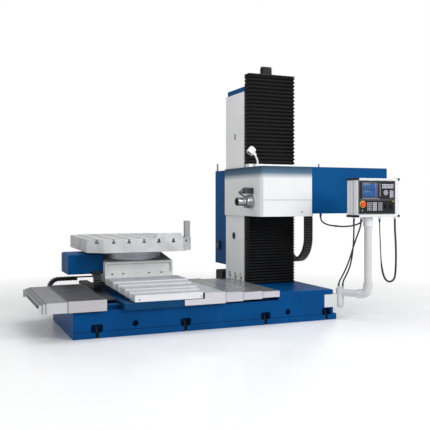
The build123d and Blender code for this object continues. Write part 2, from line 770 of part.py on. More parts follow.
def edge_stop():
    """Raised block bolted on the table's front edge, with a sloped left end."""
    right = TABLE_X + TABLE_WIDTH / 2 - STOP_INSET
    left = right - STOP_LENGTH
    top = TABLE_TOP + STOP_HEIGHT
    outline = [(left, TABLE_TOP), (left + STOP_SLOPE, top), (right, top), (right, TABLE_TOP)]
    return along_y(outline, TABLE_FRONT, TABLE_FRONT + STOP_DEPTH)


def corner_post():
    """Upright stop on the table's front right corner."""
    x = TABLE_X + TABLE_WIDTH / 2 - POST_STOP_INSETS[0]
    y = TABLE_FRONT + POST_STOP_INSETS[1]
    post = slab(x, x + POST_STOP_WIDTH, y, y + POST_STOP_DEPTH, TABLE_TOP, TABLE_TOP + POST_STOP_HEIGHT)
    return rounded_edges(post, Axis.Z, BED_CHAMFER)


def drive_cover():
    """Cover over the table's turning drive, with a channel below for the energy chain."""
    left = BASE_LEFT - DRIVE_LENGTH
    back = DRIVE_FRONT + DRIVE_DEPTH
    body = slab(left, BASE_LEFT, DRIVE_FRONT, back, DRIVE_BOTTOM, DRIVE_TOP)
    body = chamfer(body.faces().sort_by(Axis.Z)[-1].edges(), DRIVE_CHAMFER)
    right = TABLE_CHAIN_RIGHT + SLIDE_GAP
    channel_left = TABLE_CHAIN_RIGHT - TABLE_CHAIN_WIDTH - SLIDE_GAP
    top = TABLE_CHAIN_Z + 2 * TABLE_CHAIN_RADIUS + TABLE_CHAIN_HEIGHT + SLIDE_GAP
    return body - slab(channel_left, right, DRIVE_FRONT, TABLE_CHAIN_MOVING_Y, DRIVE_BOTTOM, top)


# Energy chains


def chain_outline(low_run, high_run, radius, height):
    """Outline of a chain in its own plane: a low run, a half turn at the left and a high run.

    The low run's lower face lies at 0 and the turn's centre at 0 along the runs. Each link is
    parted from the next by a notch on both faces.
    """
    total = low_run + pi * radius + high_run
    links = round(total / LINK_PITCH)
    half = height / 2

    def at(distance, offset):
        if distance < low_run:
            return (low_run - distance, half - offset)
        if distance > low_run + pi * radius:
            return (distance - low_run - pi * radius, half + 2 * radius + offset)
        angle = (distance - low_run) / radius
        return (-(radius + offset) * sin(angle), half + radius - (radius + offset) * cos(angle))

    outer = []
    inner = []
    for index in range(links):
        start = index * total / links
        end = start + total / links
        for distance, depth in ((start, half - LINK_NOTCH), (start + LINK_GAP, half - LINK_NOTCH),
                                (start + LINK_GAP, half), (end, half)):
            outer.append(at(distance, depth))
            inner.append(at(distance, -depth))
    return outer + inner[::-1]


def head_chain():
    """Chain that hangs in a loop beside the column, from the column's side to the tail's underside."""
    outline = chain_outline(
        HEAD_CHAIN_END_Z - HEAD_CHAIN_CENTRE_Z,
        TAIL_BOTTOM - HEAD_CHAIN_CENTRE_Z,
        HEAD_CHAIN_RADIUS,
        HEAD_CHAIN_HEIGHT,
    )
    back = HEAD_CHAIN_FRONT + 2 * HEAD_CHAIN_RADIUS + HEAD_CHAIN_HEIGHT
    points = [(back - across, HEAD_CHAIN_CENTRE_Z + along) for along, across in outline]
    return along_x(points, HEAD_CHAIN_LEFT, HEAD_CHAIN_LEFT + HEAD_CHAIN_WIDTH)


def table_chain():
    """Chain from the saddle's tray up into the drive cover."""
    low_run = TABLE_CHAIN_END_Y - TABLE_CHAIN_CENTRE_Y
    high_run = TABLE_CHAIN_MOVING_Y - TABLE_CHAIN_CENTRE_Y
    outline = chain_outline(low_run, high_run, TABLE_CHAIN_RADIUS, TABLE_CHAIN_HEIGHT)
    points = [(TABLE_CHAIN_CENTRE_Y + along, TABLE_CHAIN_Z + across) for along, across in outline]
    return along_x(points, TABLE_CHAIN_RIGHT - TABLE_CHAIN_WIDTH, TABLE_CHAIN_RIGHT)


def chain_tray():
    """Tray on the saddle's left side with an end wall that holds the table chain."""
    left = TABLE_CHAIN_RIGHT - TABLE_CHAIN_WIDTH - TRAY_MARGIN
    floor = SHOULDER_TOP
    back = TABLE_CHAIN_END_Y + TRAY_THICKNESS
    front = LINK_BACK + TRAY_MARGIN
    tray = slab(left, SADDLE_LEFT, front, back, floor - TRAY_THICKNESS, floor + TRAY_THICKNESS)
    wall = (LINK_BACK + TRAY_MARGIN, back, floor, floor + TRAY_WALL)
    tray += slab(left, left + TRAY_THICKNESS, *wall)
    tray += slab(SADDLE_LEFT - TRAY_THICKNESS, SADDLE_LEFT, *wall)
    return tray + slab(left, SADDLE_LEFT, TABLE_CHAIN_END_Y, back, floor, floor + TRAY_WALL + TRAY_MARGIN)


def bed_chain():
    """Chain behind the bed, from its trough up to the saddle's arm."""
    low_run = BED_CHAIN_END_X - BED_CHAIN_CENTRE_X
    high_run = BED_CHAIN_MOVING_X - BED_CHAIN_CENTRE_X
    outline = chain_outline(low_run, high_run, BED_CHAIN_RADIUS, BED_CHAIN_HEIGHT)
    centre_x = BED_LEFT + BED_CHAIN_CENTRE_X
    points = [(centre_x + along, BED_CHAIN_Z + CHAIN_SEAT + across) for along, across in outline]
    return along_y(points, BED_CHAIN_FRONT, BED_CHAIN_FRONT + BED_CHAIN_WIDTH)


def chain_trough():
    """Trough on the bed's back that the bed chain lies in."""
    left = BED_LEFT
    right = BED_LEFT + BED_CHAIN_END_X + TRAY_THICKNESS
    back = BED_CHAIN_FRONT + BED_CHAIN_WIDTH + TRAY_MARGIN
    floor = BED_CHAIN_Z
    trough = slab(left, right, BED_BACK, back, floor - TRAY_THICKNESS, floor)
    trough += slab(left, right, back - TRAY_THICKNESS, back, floor, floor + TRAY_WALL)
    end = BED_LEFT + BED_CHAIN_END_X
    return trough + slab(end, right, BED_CHAIN_FRONT, back, floor, floor + BED_CHAIN_HEIGHT)


def chain_arm():
    """Bent arm from the saddle's shoulder to the bed chain's moving end."""
    top = BED_CHAIN_Z + CHAIN_SEAT + 2 * BED_CHAIN_RADIUS + BED_CHAIN_HEIGHT
    bottom = top - BED_CHAIN_HEIGHT
    left = BED_LEFT + BED_CHAIN_MOVING_X
    y0 = BED_CHAIN_FRONT
    y1 = BED_CHAIN_FRONT + BED_CHAIN_WIDTH
    right = SADDLE_LEFT + PLATE_TAB
    arm = slab(left, right, y0, y1, top - PLATE_THICKNESS, top)
    arm += slab(left, left + PLATE_THICKNESS, y0, y1, bottom, top)
    return arm + slab(right - PLATE_THICKNESS, right, y0, y1, SHOULDER_TOP, top)


# Spindle head


def head_profile(left, right, front, radius, z0, z1):
    """Block of the head with its front left edge rounded."""
    body = slab(left, right, front, BELLOWS_FRONT, z0, z1)
    edge = body.edges().filter_by(Axis.Z).sort_by(lambda item: item.center().X + item.center().Y)[0]
    return fillet(edge, radius)


def head_skin(z0, z1):
    """Sheet round the head's front and its rounded corner."""
    outer = head_profile(HEAD_LEFT, HEAD_RIGHT, HEAD_FRONT, HEAD_CORNER, z0, z1)
    inner = head_profile(
        HEAD_LEFT + HEAD_SKIN, HEAD_RIGHT, HEAD_FRONT + HEAD_SKIN, HEAD_CORNER - HEAD_SKIN, z0, z1
    )
    return outer - inner


def head_body():
    """Head casting with shoes that run on the column's rails and a boss round the sleeve."""
    body = head_profile(
        HEAD_LEFT + HEAD_SKIN,
        HEAD_RIGHT,
        HEAD_FRONT + HEAD_SKIN,
        HEAD_CORNER - HEAD_SKIN,
        HEAD_BOTTOM,
        HEAD_TOP,
    )
    for x in RAIL_LEFTS:
        shoe = slab(
            x - SHOE_WIDTH,
            x + RAIL_WIDTH + SHOE_WIDTH,
            BELLOWS_FRONT,
            COLUMN_FRONT - SLIDE_GAP,
            HEAD_BOTTOM,
            HEAD_TOP,
        )
        right = x + RAIL_WIDTH + RAIL_FIT
        body += shoe - slab(x - RAIL_FIT, right, RAIL_FRONT - RAIL_FIT, COLUMN_FRONT, HEAD_BOTTOM, HEAD_TOP)
    start = (HEAD_LEFT - BOSS_LENGTH, SPINDLE_Y, SPINDLE_Z)
    body += rod(start, (1, 0, 0), BOSS_RADIUS, BOSS_LENGTH + HEAD_SKIN)
    return body - rod(start, (1, 0, 0), SLEEVE_RADIUS + FIT, SPINDLE_LENGTH)


def front_cover():
    """White cover of the head's front and left side, run back past the column, with a seam in front."""
    back = COLUMN_BACK - SIDE_PLATE_BACK
    cover = head_skin(HEAD_BOTTOM, BAND_BOTTOM)
    cover += slab(HEAD_LEFT, HEAD_LEFT + HEAD_SKIN, BELLOWS_FRONT, back, HEAD_BOTTOM, BAND_BOTTOM)
    cover -= slab(
        HEAD_LEFT + HEAD_CORNER,
        HEAD_RIGHT,
        HEAD_FRONT,
        HEAD_FRONT + SEAM_DEPTH,
        SEAM_Z - SEAM_WIDTH / 2,
        SEAM_Z + SEAM_WIDTH / 2,
    )
    return cover - rod((HEAD_LEFT, SPINDLE_Y, SPINDLE_Z), (1, 0, 0), BOSS_RADIUS + RAIL_FIT, HEAD_SKIN)


def head_band():
    """Band round the top of the head that runs back past the column."""
    back = COLUMN_BACK - SIDE_PLATE_BACK
    return head_skin(BAND_BOTTOM, HEAD_TOP) + slab(
        HEAD_LEFT, HEAD_LEFT + HEAD_SKIN, BELLOWS_FRONT, back, BAND_BOTTOM, HEAD_TOP
    )


def top_plate():
    """White flange between the head and the upper bellows."""
    return slab(
        COLUMN_LEFT - TOP_PLATE_OUT,
        COLUMN_RIGHT,
        BELLOWS_FRONT - TOP_PLATE_FRONT,
        RAIL_FRONT - WIPER_GAP,
        HEAD_TOP,
        HEAD_TOP + TOP_PLATE_HEIGHT,
    )


def tail():
    """Long housing of the spindle feed, with a rest pin on its top."""
    body = slab(HEAD_RIGHT, TAIL_RIGHT, HEAD_FRONT, TAIL_BACK, TAIL_BOTTOM, HEAD_TOP)
    body = chamfer(body.faces().sort_by(Axis.X)[-1].edges(), TAIL_CHAMFER)
    pin = rod((HEAD_RIGHT + TAIL_PIN_PLACE, SPINDLE_Y, HEAD_TOP), (0, 0, 1), TAIL_PIN_RADIUS, TAIL_PIN_HEIGHT)
    gland = rod(CABLE_3[0], (0, 0, 1), GLAND_RADIUS, TAIL_BOTTOM - CABLE_3[0][2])
    return body + pin + gland


def nose_bracket():
    """Grooved block above the spindle with a bent coolant pipe."""
    length, width, height = NOZZLE_BLOCK
    y = SPINDLE_Y
    z = SPINDLE_Z + BOSS_RADIUS + NOZZLE_BLOCK_GAP
    left = HEAD_LEFT - length
    block = slab(left, HEAD_LEFT, y - width / 2, y + width / 2, z, z + height)
    block = rounded_edges(block, Axis.X, BED_CHAMFER)
    for level in (1, 2, 3):
        groove = z + level * height / 4
        front = y - width / 2
        block -= slab(left, HEAD_LEFT, front, front + RING_GROOVE, groove - SHEET, groove + SHEET)
    pipe_z = z + height / 4
    route = FilletPolyline(
        (left, y, pipe_z),
        (left - NOZZLE_REACH, y, pipe_z + NOZZLE_RADIUS),
        (left + NOZZLE_RADIUS, y - BOSS_RADIUS, pipe_z - NOZZLE_DROP),
        radius=2 * NOZZLE_RADIUS,
    )
    return block + sweep(Plane(origin=route @ 0, z_dir=route % 0) * Circle(NOZZLE_RADIUS), route)


def spindle_sleeve():
    """Turning sleeve around the boring spindle, with a stepped nose."""
    left = HEAD_LEFT - SLEEVE_LENGTH
    bore = SPINDLE_RADIUS + FIT
    outline = [
        (left, bore),
        (left, SLEEVE_NOSE_RADIUS),
        (left + SLEEVE_NOSE, SLEEVE_NOSE_RADIUS),
        (left + SLEEVE_NOSE, SLEEVE_RADIUS),
        (HEAD_LEFT + SLEEVE_INSIDE, SLEEVE_RADIUS),
        (HEAD_LEFT + SLEEVE_INSIDE, bore),
    ]
    profile = make_face(Polyline(*outline, close=True))
    return Pos(0, SPINDLE_Y, SPINDLE_Z) * revolve(profile, Axis.X)


def boring_spindle():
    """Boring spindle with a tool socket in its end."""
    left = HEAD_LEFT - SLEEVE_LENGTH - SPINDLE_OUT
    bar = rod((left, SPINDLE_Y, SPINDLE_Z), (1, 0, 0), SPINDLE_RADIUS, SPINDLE_LENGTH)
    bar = chamfer(bar.faces().sort_by(Axis.X)[0].edges(), SPINDLE_RIM)
    return bar - rod((left, SPINDLE_Y, SPINDLE_Z), (1, 0, 0), TAPER_RADIUS, TAPER_LENGTH)


# Work lamp


def lamp_stand():
    """Base block and bent neck of the work lamp, with an eye at the neck's end."""
    wide, deep, tall = LAMP_BASE
    top = HEAD_TOP + tall
    block = slab(HEAD_LEFT, HEAD_LEFT + wide, LAMP_BASE_BACK - deep, LAMP_BASE_BACK, HEAD_TOP, top)
    block = rounded_edges(block, Axis.Z, BED_CHAMFER)
    foot_x = HEAD_LEFT + LAMP_NECK_X
    knee = (foot_x, LAMP_PIVOT_Y, (HEAD_TOP + LAMP_Z) / 2)
    end = (LAMP_X, LAMP_PIVOT_Y, LAMP_Z)
    route = FilletPolyline((foot_x, LAMP_PIVOT_Y, top), knee, end, radius=2 * LAMP_NECK_RADIUS)
    neck = sweep(Plane(origin=route @ 0, z_dir=route % 0) * Circle(LAMP_NECK_RADIUS), route)
    eye_front = LAMP_PIVOT_Y - LAMP_EYE_WIDTH / 2
    eye = rod((LAMP_X, eye_front, LAMP_Z), (0, 1, 0), LAMP_EYE_RADIUS, LAMP_EYE_WIDTH)
    cut = 2 * (LAMP_EYE_RADIUS + SLIDE_GAP)
    for y in (eye_front - LAMP_EYE_RADIUS, eye_front + LAMP_EYE_WIDTH):
        neck -= Pos(LAMP_X, y + LAMP_EYE_RADIUS / 2, LAMP_Z) * Box(cut, LAMP_EYE_RADIUS, cut)
    hole = rod((LAMP_X, eye_front, LAMP_Z), (0, 1, 0), LAMP_PIN_RADIUS + FIT, LAMP_EYE_WIDTH)
    return block + neck + eye - hole


def lamp_head():
    """Lamp head with a fork and pin that tilts on the neck's eye."""
    aim = Vector(*LAMP_AIM).normalized()
    up = Vector(aim.Z, 0, -aim.X)
    middle = Vector(LAMP_X, LAMP_PIVOT_Y, LAMP_Z) + up * LAMP_OFFSET
    start = middle - aim * (LAMP_LENGTH / 2)
    shell = rod(start, aim, LAMP_RADIUS, LAMP_LENGTH)
    shell = fillet(shell.faces().sort_by(Axis.Z)[-1].edges(), BED_CHAMFER)
    shell -= rod(start + aim * (LAMP_LENGTH - LAMP_EAR), aim, LAMP_RADIUS - LAMP_EAR, LAMP_EAR)
    ear_y = LAMP_EYE_WIDTH / 2 + TURN_GAP
    pivot = Plane(origin=(LAMP_X, LAMP_PIVOT_Y, LAMP_Z), x_dir=(up.X, 0, up.Z), z_dir=(0, -1, 0))
    reach = LAMP_OFFSET - LAMP_RADIUS / 2
    ear = Cylinder(LAMP_EYE_RADIUS, LAMP_EAR)
    ear += Pos(reach / 2, 0, 0) * Box(reach, 2 * LAMP_EYE_RADIUS, LAMP_EAR)
    for side in (-1, 1):
        shell += pivot * Pos(0, 0, side * (ear_y + LAMP_EAR / 2)) * ear
    return shell + pivot * Cylinder(LAMP_PIN_RADIUS, 2 * ear_y + LAMP_EAR)


# Control pendant


def arm_bracket():
    """Bracket in the bed's corner recess that holds the arm's pivot pin."""
    left = BED_RIGHT - RECESS_WIDTH
    front = PIVOT_Y - PIVOT_RADIUS / 2
    back = BED_FRONT + RECESS_DEPTH
    right = PIVOT_X - PIVOT_RADIUS - SLIDE_GAP
    plate_bottom = PIVOT_BOTTOM - PIVOT_PLATE
    block = slab(left, right, front, back, RECESS_BOTTOM, RECESS_TOP - SLIDE_GAP)
    block += slab(BED_RIGHT, right, front, back, plate_bottom, RECESS_BOTTOM)
    plate = slab(BED_RIGHT, PIVOT_X, front, back, plate_bottom, PIVOT_BOTTOM - WIPER_GAP)
    plate += rod((PIVOT_X, PIVOT_Y, plate_bottom), (0, 0, 1), PIVOT_RADIUS / 2, PIVOT_PLATE - WIPER_GAP)
    pin = rod((PIVOT_X, PIVOT_Y, plate_bottom), (0, 0, 1), PIN_RADIUS, PIVOT_TOP - PIVOT_BOTTOM)
    return block + plate + pin


def swing_arm():
    """Pivot cylinder, level tube, bend and upright post, with two glands on the pivot."""
    barrel = rod((PIVOT_X, PIVOT_Y, PIVOT_BOTTOM), (0, 0, 1), PIVOT_RADIUS, PIVOT_TOP - PIVOT_BOTTOM)
    barrel = fillet(barrel.faces().sort_by(Axis.Z)[0].edges(), PIVOT_FILLET)
    foot = Vector(PIVOT_X, PIVOT_Y, ARM_Z)
    corner = Vector(POST_X, POST_Y, ARM_Z)
    route = FilletPolyline(foot, corner, Vector(POST_X, POST_Y, POST_TOP), radius=ELBOW_RADIUS)
    tube = sweep(Plane(origin=foot, z_dir=route % 0) * Circle(POST_RADIUS), route)
    hole_top = PIVOT_TOP - PIVOT_PLATE + WIPER_GAP
    hole = rod((PIVOT_X, PIVOT_Y, PIVOT_BOTTOM), (0, 0, 1), PIN_RADIUS + FIT, hole_top - PIVOT_BOTTOM)
    arm = barrel + tube - hole
    for x, y, z in (CABLE_1[-1], CABLE_2[-1]):
        arm += rod((x, y, PIVOT_TOP), (0, 0, 1), GLAND_RADIUS, z - PIVOT_TOP)
    return arm


def pendant_box():
    """Housing of the control pendant with grooved side profiles, a swivel collar and cable glands."""
    box = slab(BOX_LEFT, BOX_RIGHT, BOX_FRONT, BOX_BACK, PENDANT_BOTTOM, PENDANT_TOP)
    box = rounded_edges(box, Axis.Z, PENDANT_FILLET)
    for share in (1 / 3, 2 / 3):
        front = BOX_FRONT + share * PENDANT_DEPTH - PENDANT_GROOVE / 2
        back = front + PENDANT_GROOVE
        for x in (BOX_LEFT, BOX_RIGHT - PENDANT_GROOVE_DEPTH):
            box -= slab(x, x + PENDANT_GROOVE_DEPTH, front, back, PENDANT_BOTTOM, PENDANT_TOP)
    for x, y, z in (CABLE_1[0], CABLE_2[0], HOSE[0], HOSE[-1]):
        box += rod((x, y, z), (0, 0, 1), GLAND_RADIUS, PENDANT_BOTTOM - z)
    bottom = POST_TOP + WIPER_GAP
    collar = rod((POST_X, POST_Y, bottom), (0, 0, 1), COLLAR_RADIUS, PENDANT_BOTTOM - bottom)
    return box + chamfer(collar.faces().sort_by(Axis.Z)[0].edges(), BED_CHAMFER)


def pendant_caps():
    """Four dark caps over the ends of the pendant's side profiles."""
    caps = Part()
    overlap = SHEET
    for x in (BOX_LEFT - overlap, BOX_RIGHT - CAP_SIZE + overlap):
        for z in (PENDANT_BOTTOM - overlap, PENDANT_TOP + overlap - CAP_SIZE):
            caps += slab(x, x + CAP_SIZE, BOX_FRONT - overlap, BOX_BACK + overlap, z, z + CAP_SIZE)
    return caps - slab(BOX_LEFT, BOX_RIGHT, BOX_FRONT, BOX_BACK, PENDANT_BOTTOM, PENDANT_TOP)


def pendant_panel():
    """Dark operating panel with two knobs on the pendant's front."""
    panel = slab(PANEL_X, PANEL_X + PANEL_WIDTH, PANEL_FACE, BOX_FRONT, PANEL_Z, PANEL_Z + PANEL_HEIGHT)
    for dx, dz in KNOB_PLACES:
        panel += rod((PANEL_X + dx, PANEL_FACE, PANEL_Z + dz), (0, -1, 0), KNOB_RADIUS, KNOB_LENGTH)
    left = PANEL_X + SCREEN_PLACE[0]
    bottom = PANEL_Z + SCREEN_PLACE[1]
    return panel - slab(
        left, left + SCREEN_SIZE[0], PANEL_FACE, PANEL_FACE + SEAM_DEPTH, bottom, bottom + SCREEN_SIZE[1]
    )


def stop_button():
    """Mushroom emergency stop on the panel."""
    start = (PANEL_X + STOP_BUTTON_PLACE[0], PANEL_FACE, PANEL_Z + STOP_BUTTON_PLACE[1])
    stem = rod(start, (0, -1, 0), STOP_BUTTON_STEM, STOP_BUTTON_LENGTH)
    cap_start = (start[0], start[1] - STOP_BUTTON_LENGTH / 2, start[2])
    cap = rod(cap_start, (0, -1, 0), STOP_BUTTON_RADIUS, STOP_BUTTON_LENGTH / 2)
    return stem + fillet(cap.faces().sort_by(Axis.Y)[0].edges(), STOP_BUTTON_LENGTH / 4)


# Cables and hose. Their points follow the way each one hangs.


def placed(points, x, y):
    """Points of a route measured from the arm's pivot or another anchor."""
    return [(x + dx, y + dy, z) for dx, dy, z in points]


CABLE_1 = placed(
    [
        (57, -190, PENDANT_BOTTOM - GLAND_LENGTH),
        (57, -190, 998),
        (68, -172, 898),
        (82, -144, 788),
        (90, -112, 676),
        (90, -78, 566),
        (70, -42, 468),
        (36, -16, 390),
        (36, -16, PIVOT_TOP + GLAND_LENGTH),
    ],
    PIVOT_X - 12,
    PIVOT_Y,
)
CABLE_2 = placed(
    [
        (81, -264, PENDANT_BOTTOM - GLAND_LENGTH),
        (81, -264, 992),
        (64, -220, 884),
        (48, -174, 766),
        (38, -132, 650),
        (20, -88, 540),
        (-2, -44, 448),
        (-12, 6, 378),
        (-12, 6, PIVOT_TOP + GLAND_LENGTH),
    ],
    PIVOT_X,
    PIVOT_Y,
)
CABLE_3 = placed(
    [
        (0, 0, TAIL_BOTTOM - GLAND_LENGTH),
        (0, 0, 1032),
        (3, -50, 1000),
        (7, -114, 984),
    ],
    HEAD_RIGHT + TAIL_GLAND_INSET,
    HEAD_FRONT + TAIL_GLAND_BACK,
) + placed(
    [
        (2, 180, 974),
        (12, 104, 968),
        (28, 24, 968),
        (48, -56, 974),
        (72, -126, 985),
        (94, -182, 1002),
        (108, -221, 1030),
        (108, -221, PENDANT_BOTTOM),
    ],
    PIVOT_X,
    PIVOT_Y,
)
HOSE = placed(
    [
        (94, -69, PENDANT_BOTTOM - GLAND_LENGTH),
        (94, -69, 960),
        (101, -69, 850),
        (107, -69, 740),
        (111, -69, 640),
        (122, -69, 548),
        (144, -69, 468),
        (172, -69, 424),
        (213, -69, 402),
        (256, -69, 410),
        (286, -69, 444),
        (296, -69, 520),
        (300, -69, 610),
        (300, -69, 720),
        (296, -69, 830),
        (286, -69, 946),
        (286, -69, PENDANT_BOTTOM - GLAND_LENGTH),
    ],
    POST_X,
    POST_Y,
)


def cord(points, radius):
    """A round cord along a route, with each bend as wide as its two runs allow."""
    radii = []
    for before, point, after in zip(points, points[1:], points[2:]):
        first = Vector(*point) - Vector(*before)
        second = Vector(*after) - Vector(*point)
        turn = first.get_angle(second) * pi / 180
        radii.append(0.45 * min(first.length, second.length) / tan(turn / 2))
    print("bend radii", [round(value) for value in radii])
    route = FilletPolyline(*points, radius=radii)
    return sweep(Plane(origin=points[0], z_dir=route % 0) * Circle(radius), route)


NODES = {
    "bed": bed,
    "column": column,
    "column_cap": column_cap,
    "head_plate": head_plate,
    "top_motor": top_motor,
    "upper_bellows": lambda: bellows(HEAD_TOP + TOP_PLATE_HEIGHT, BELLOWS_TOP, UPPER_FOLDS),
    "lower_bellows": lambda: bellows(BED_HEIGHT, HEAD_BOTTOM, LOWER_FOLDS),
    "cabinet": cabinet,
    "isolator": isolator,
    "signal_lamp": signal_lamp,
    "feed_motor": feed_motor,
    "right_cover_1": lambda: right_cover(0),
    "right_cover_2": lambda: right_cover(1),
    "right_cover_3": lambda: right_cover(2),
    "right_cover_4": lambda: right_cover(3),
    "left_cover_1": lambda: left_cover(0),
    "left_cover_2": lambda: left_cover(1),
    "left_cover_3": lambda: left_cover(2),
    "left_cover_4": lambda: left_cover(3),
    "left_cover_bracket": left_cover_bracket,
    "cover_link": cover_link,
    "saddle": saddle,
    "saddle_apron": saddle_apron,
    "cross_cover_1": lambda: cross_cover(0),
    "cross_cover_2": lambda: cross_cover(1),
    "cross_cover_3": lambda: cross_cover(2),
    "cross_cover_4": lambda: cross_cover(3),
    "cross_cover_5": lambda: cross_cover(4),
    "table_base": table_base,
    "table_ring": table_ring,
    "drive_cover": drive_cover,
    "rotary_table": rotary_table,
    "edge_stop": edge_stop,
    "corner_post": corner_post,
    "head_chain": head_chain,
    "table_chain": table_chain,
    "chain_tray": chain_tray,
    "bed_chain": bed_chain,
    "chain_trough": chain_trough,
    "chain_arm": chain_arm,
    "head_body": head_body,
    "front_cover": front_cover,
    "head_band": head_band,
    "top_plate": top_plate,
    "tail": tail,
    "nose_bracket": nose_bracket,
    "spindle_sleeve": spindle_sleeve,
    "boring_spindle": boring_spindle,
    "lamp_stand": lamp_stand,
    "lamp_head": lamp_head,
    "arm_bracket": arm_bracket,
    "swing_arm": swing_arm,
    "pendant_box": pendant_box,
    "pendant_caps": pendant_caps,
    "pendant_panel": pendant_panel,
    "stop_button": stop_button,
    "left_cable": lambda: cord(CABLE_1, CABLE_RADIUS),
    "middle_cable": lambda: cord(CABLE_2, CABLE_RADIUS),
    "slack_cable": lambda: cord(CABLE_3, CABLE_RADIUS),
    "coolant_hose": lambda: cord(HOSE, HOSE_RADIUS),
}

os.makedirs("parts", exist_ok=True)
for name, make in NODES.items():
    export_step(make(), f"parts/{name}.step")
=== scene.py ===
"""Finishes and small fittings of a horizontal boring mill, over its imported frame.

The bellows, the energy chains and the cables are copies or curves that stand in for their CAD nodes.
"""

import math

import bpy
from mathutils import Matrix, Vector


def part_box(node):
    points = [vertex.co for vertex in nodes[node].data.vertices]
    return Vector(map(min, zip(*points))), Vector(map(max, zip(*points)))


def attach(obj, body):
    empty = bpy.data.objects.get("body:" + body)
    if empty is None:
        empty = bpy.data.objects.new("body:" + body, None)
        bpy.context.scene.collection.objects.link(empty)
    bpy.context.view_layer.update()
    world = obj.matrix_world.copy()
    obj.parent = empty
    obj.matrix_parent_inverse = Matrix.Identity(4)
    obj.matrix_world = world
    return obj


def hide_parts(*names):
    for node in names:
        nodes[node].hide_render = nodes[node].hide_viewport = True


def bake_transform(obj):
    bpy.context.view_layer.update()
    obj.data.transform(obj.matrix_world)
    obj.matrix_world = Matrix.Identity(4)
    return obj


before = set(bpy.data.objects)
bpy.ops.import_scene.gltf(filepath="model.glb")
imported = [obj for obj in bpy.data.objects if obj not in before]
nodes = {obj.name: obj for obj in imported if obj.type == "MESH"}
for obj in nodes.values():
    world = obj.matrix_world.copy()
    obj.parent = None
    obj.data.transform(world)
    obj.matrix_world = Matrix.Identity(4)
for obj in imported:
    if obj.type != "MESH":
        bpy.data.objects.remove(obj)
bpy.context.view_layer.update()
bpy.ops.object.select_all(action="DESELECT")


# The camera stands off the bed's front left corner, level and at eye height for a machine this size,
# with a short telephoto lens whose shift keeps the column upright.
STANDPOINT = (-2.462, -6.473, 1.250)
LOOKING = math.radians(22.7)
HORIZON_SHIFT = -15 / 430
FOCAL_LENGTH = 55.4
SENSOR_WIDTH = 36
FAR_END = 200
bpy.ops.object.camera_add(location=STANDPOINT, rotation=(math.pi / 2, 0, -LOOKING))
camera = bpy.context.object
camera.data.sensor_width = SENSOR_WIDTH
camera.data.lens = FOCAL_LENGTH
camera.data.shift_y = HORIZON_SHIFT
camera.data.clip_end = FAR_END
bpy.context.scene.camera = camera


# The studio is a wide white floor that fades into a white surround, with a large soft light over
# the front right, a weaker one from the left and a broad one above.
def tone(red, green, blue):
    """Linear colour of a shade given by its 8-bit values."""
    values = [value / 255 for value in (red, green, blue)]
    return [value / 12.92 if value < 0.04 else ((value + 0.055) / 1.055) ** 2.4 for value in values] + [1]


def new_finish(name, colour, roughness, metal=0.0):
    """A material with its plain colour, roughness and metal set on the shader."""
    finish = bpy.data.materials.new(name)
    finish.use_nodes = True
    shader = finish.node_tree.nodes["Principled BSDF"]
    shader.inputs["Base Color"].default_value = colour
    shader.inputs["Roughness"].default_value = roughness
    shader.inputs["Metallic"].default_value = metal
    return finish


def clouds(finish, scale, stretch=(1, 1, 1), detail=4):
    """Uneven patches on the piece's own coordinates, longer along the axes with a small stretch value."""
    tree = finish.node_tree
    place = tree.nodes.new("ShaderNodeTexCoord")
    mapping = tree.nodes.new("ShaderNodeMapping")
    mapping.inputs["Scale"].default_value = stretch
    noise = tree.nodes.new("ShaderNodeTexNoise")
    noise.inputs["Scale"].default_value = scale
    noise.inputs["Detail"].default_value = detail
    tree.links.new(place.outputs["Object"], mapping.inputs["Vector"])
    tree.links.new(mapping.outputs["Vector"], noise.inputs["Vector"])
    return noise.outputs["Fac"]


def spread(finish, value, low, high, start=0.3, end=0.7):
    """Maps a patchy value to a range."""
    tree = finish.node_tree
    node = tree.nodes.new("ShaderNodeMapRange")
    node.inputs["From Min"].default_value = start
    node.inputs["From Max"].default_value = end
    node.inputs["To Min"].default_value = low
    node.inputs["To Max"].default_value = high
    tree.links.new(value, node.inputs["Value"])
    return node.outputs["Result"]


def blend_colours(finish, value, first, second):
    """Goes from the first colour to the second with a value. A colour is fixed or comes from a node."""
    tree = finish.node_tree
    node = tree.nodes.new("ShaderNodeMix")
    node.data_type = "RGBA"
    tree.links.new(value, node.inputs[0])
    for socket, colour in ((node.inputs[6], first), (node.inputs[7], second)):
        if isinstance(colour, list):
            socket.default_value = colour
        else:
            tree.links.new(colour, socket)
    return node.outputs[2]


def feed(finish, value, socket):
    """Joins a node's value to a socket of the shader."""
    shader = finish.node_tree.nodes["Principled BSDF"]
    finish.node_tree.links.new(value, shader.inputs[socket])


def patchy_gloss(finish, scale, low, high, stretch=(1, 1, 1)):
    """Lets the roughness drift between two values in patches."""
    feed(finish, spread(finish, clouds(finish, scale, stretch), low, high), "Roughness")


FLOOR_RADIUS = 12
FADE_START = 1.7
FADE_END = 4.8
floor_white = new_finish("floor_white", tone(250, 251, 252), 0.3)
patchy_gloss(floor_white, 1.5, 0.2, 0.3)
floor_place = floor_white.node_tree.nodes.new("ShaderNodeTexCoord")
floor_reach = floor_white.node_tree.nodes.new("ShaderNodeVectorMath")
floor_reach.operation = "LENGTH"
floor_white.node_tree.links.new(floor_place.outputs["Object"], floor_reach.inputs[0])
feed(floor_white, spread(floor_white, floor_reach.outputs["Value"], 1, 0, FADE_START, FADE_END), "Alpha")

bpy.ops.mesh.primitive_circle_add(vertices=96, radius=FLOOR_RADIUS, fill_type="NGON")
floor = bpy.context.object
floor.name = "studio_floor"
bpy.ops.object.mode_set(mode="EDIT")
bpy.ops.mesh.select_all(action="SELECT")
bpy.ops.mesh.inset(thickness=FLOOR_RADIUS / 3)
bpy.ops.object.mode_set(mode="OBJECT")
floor.data.materials.append(floor_white)

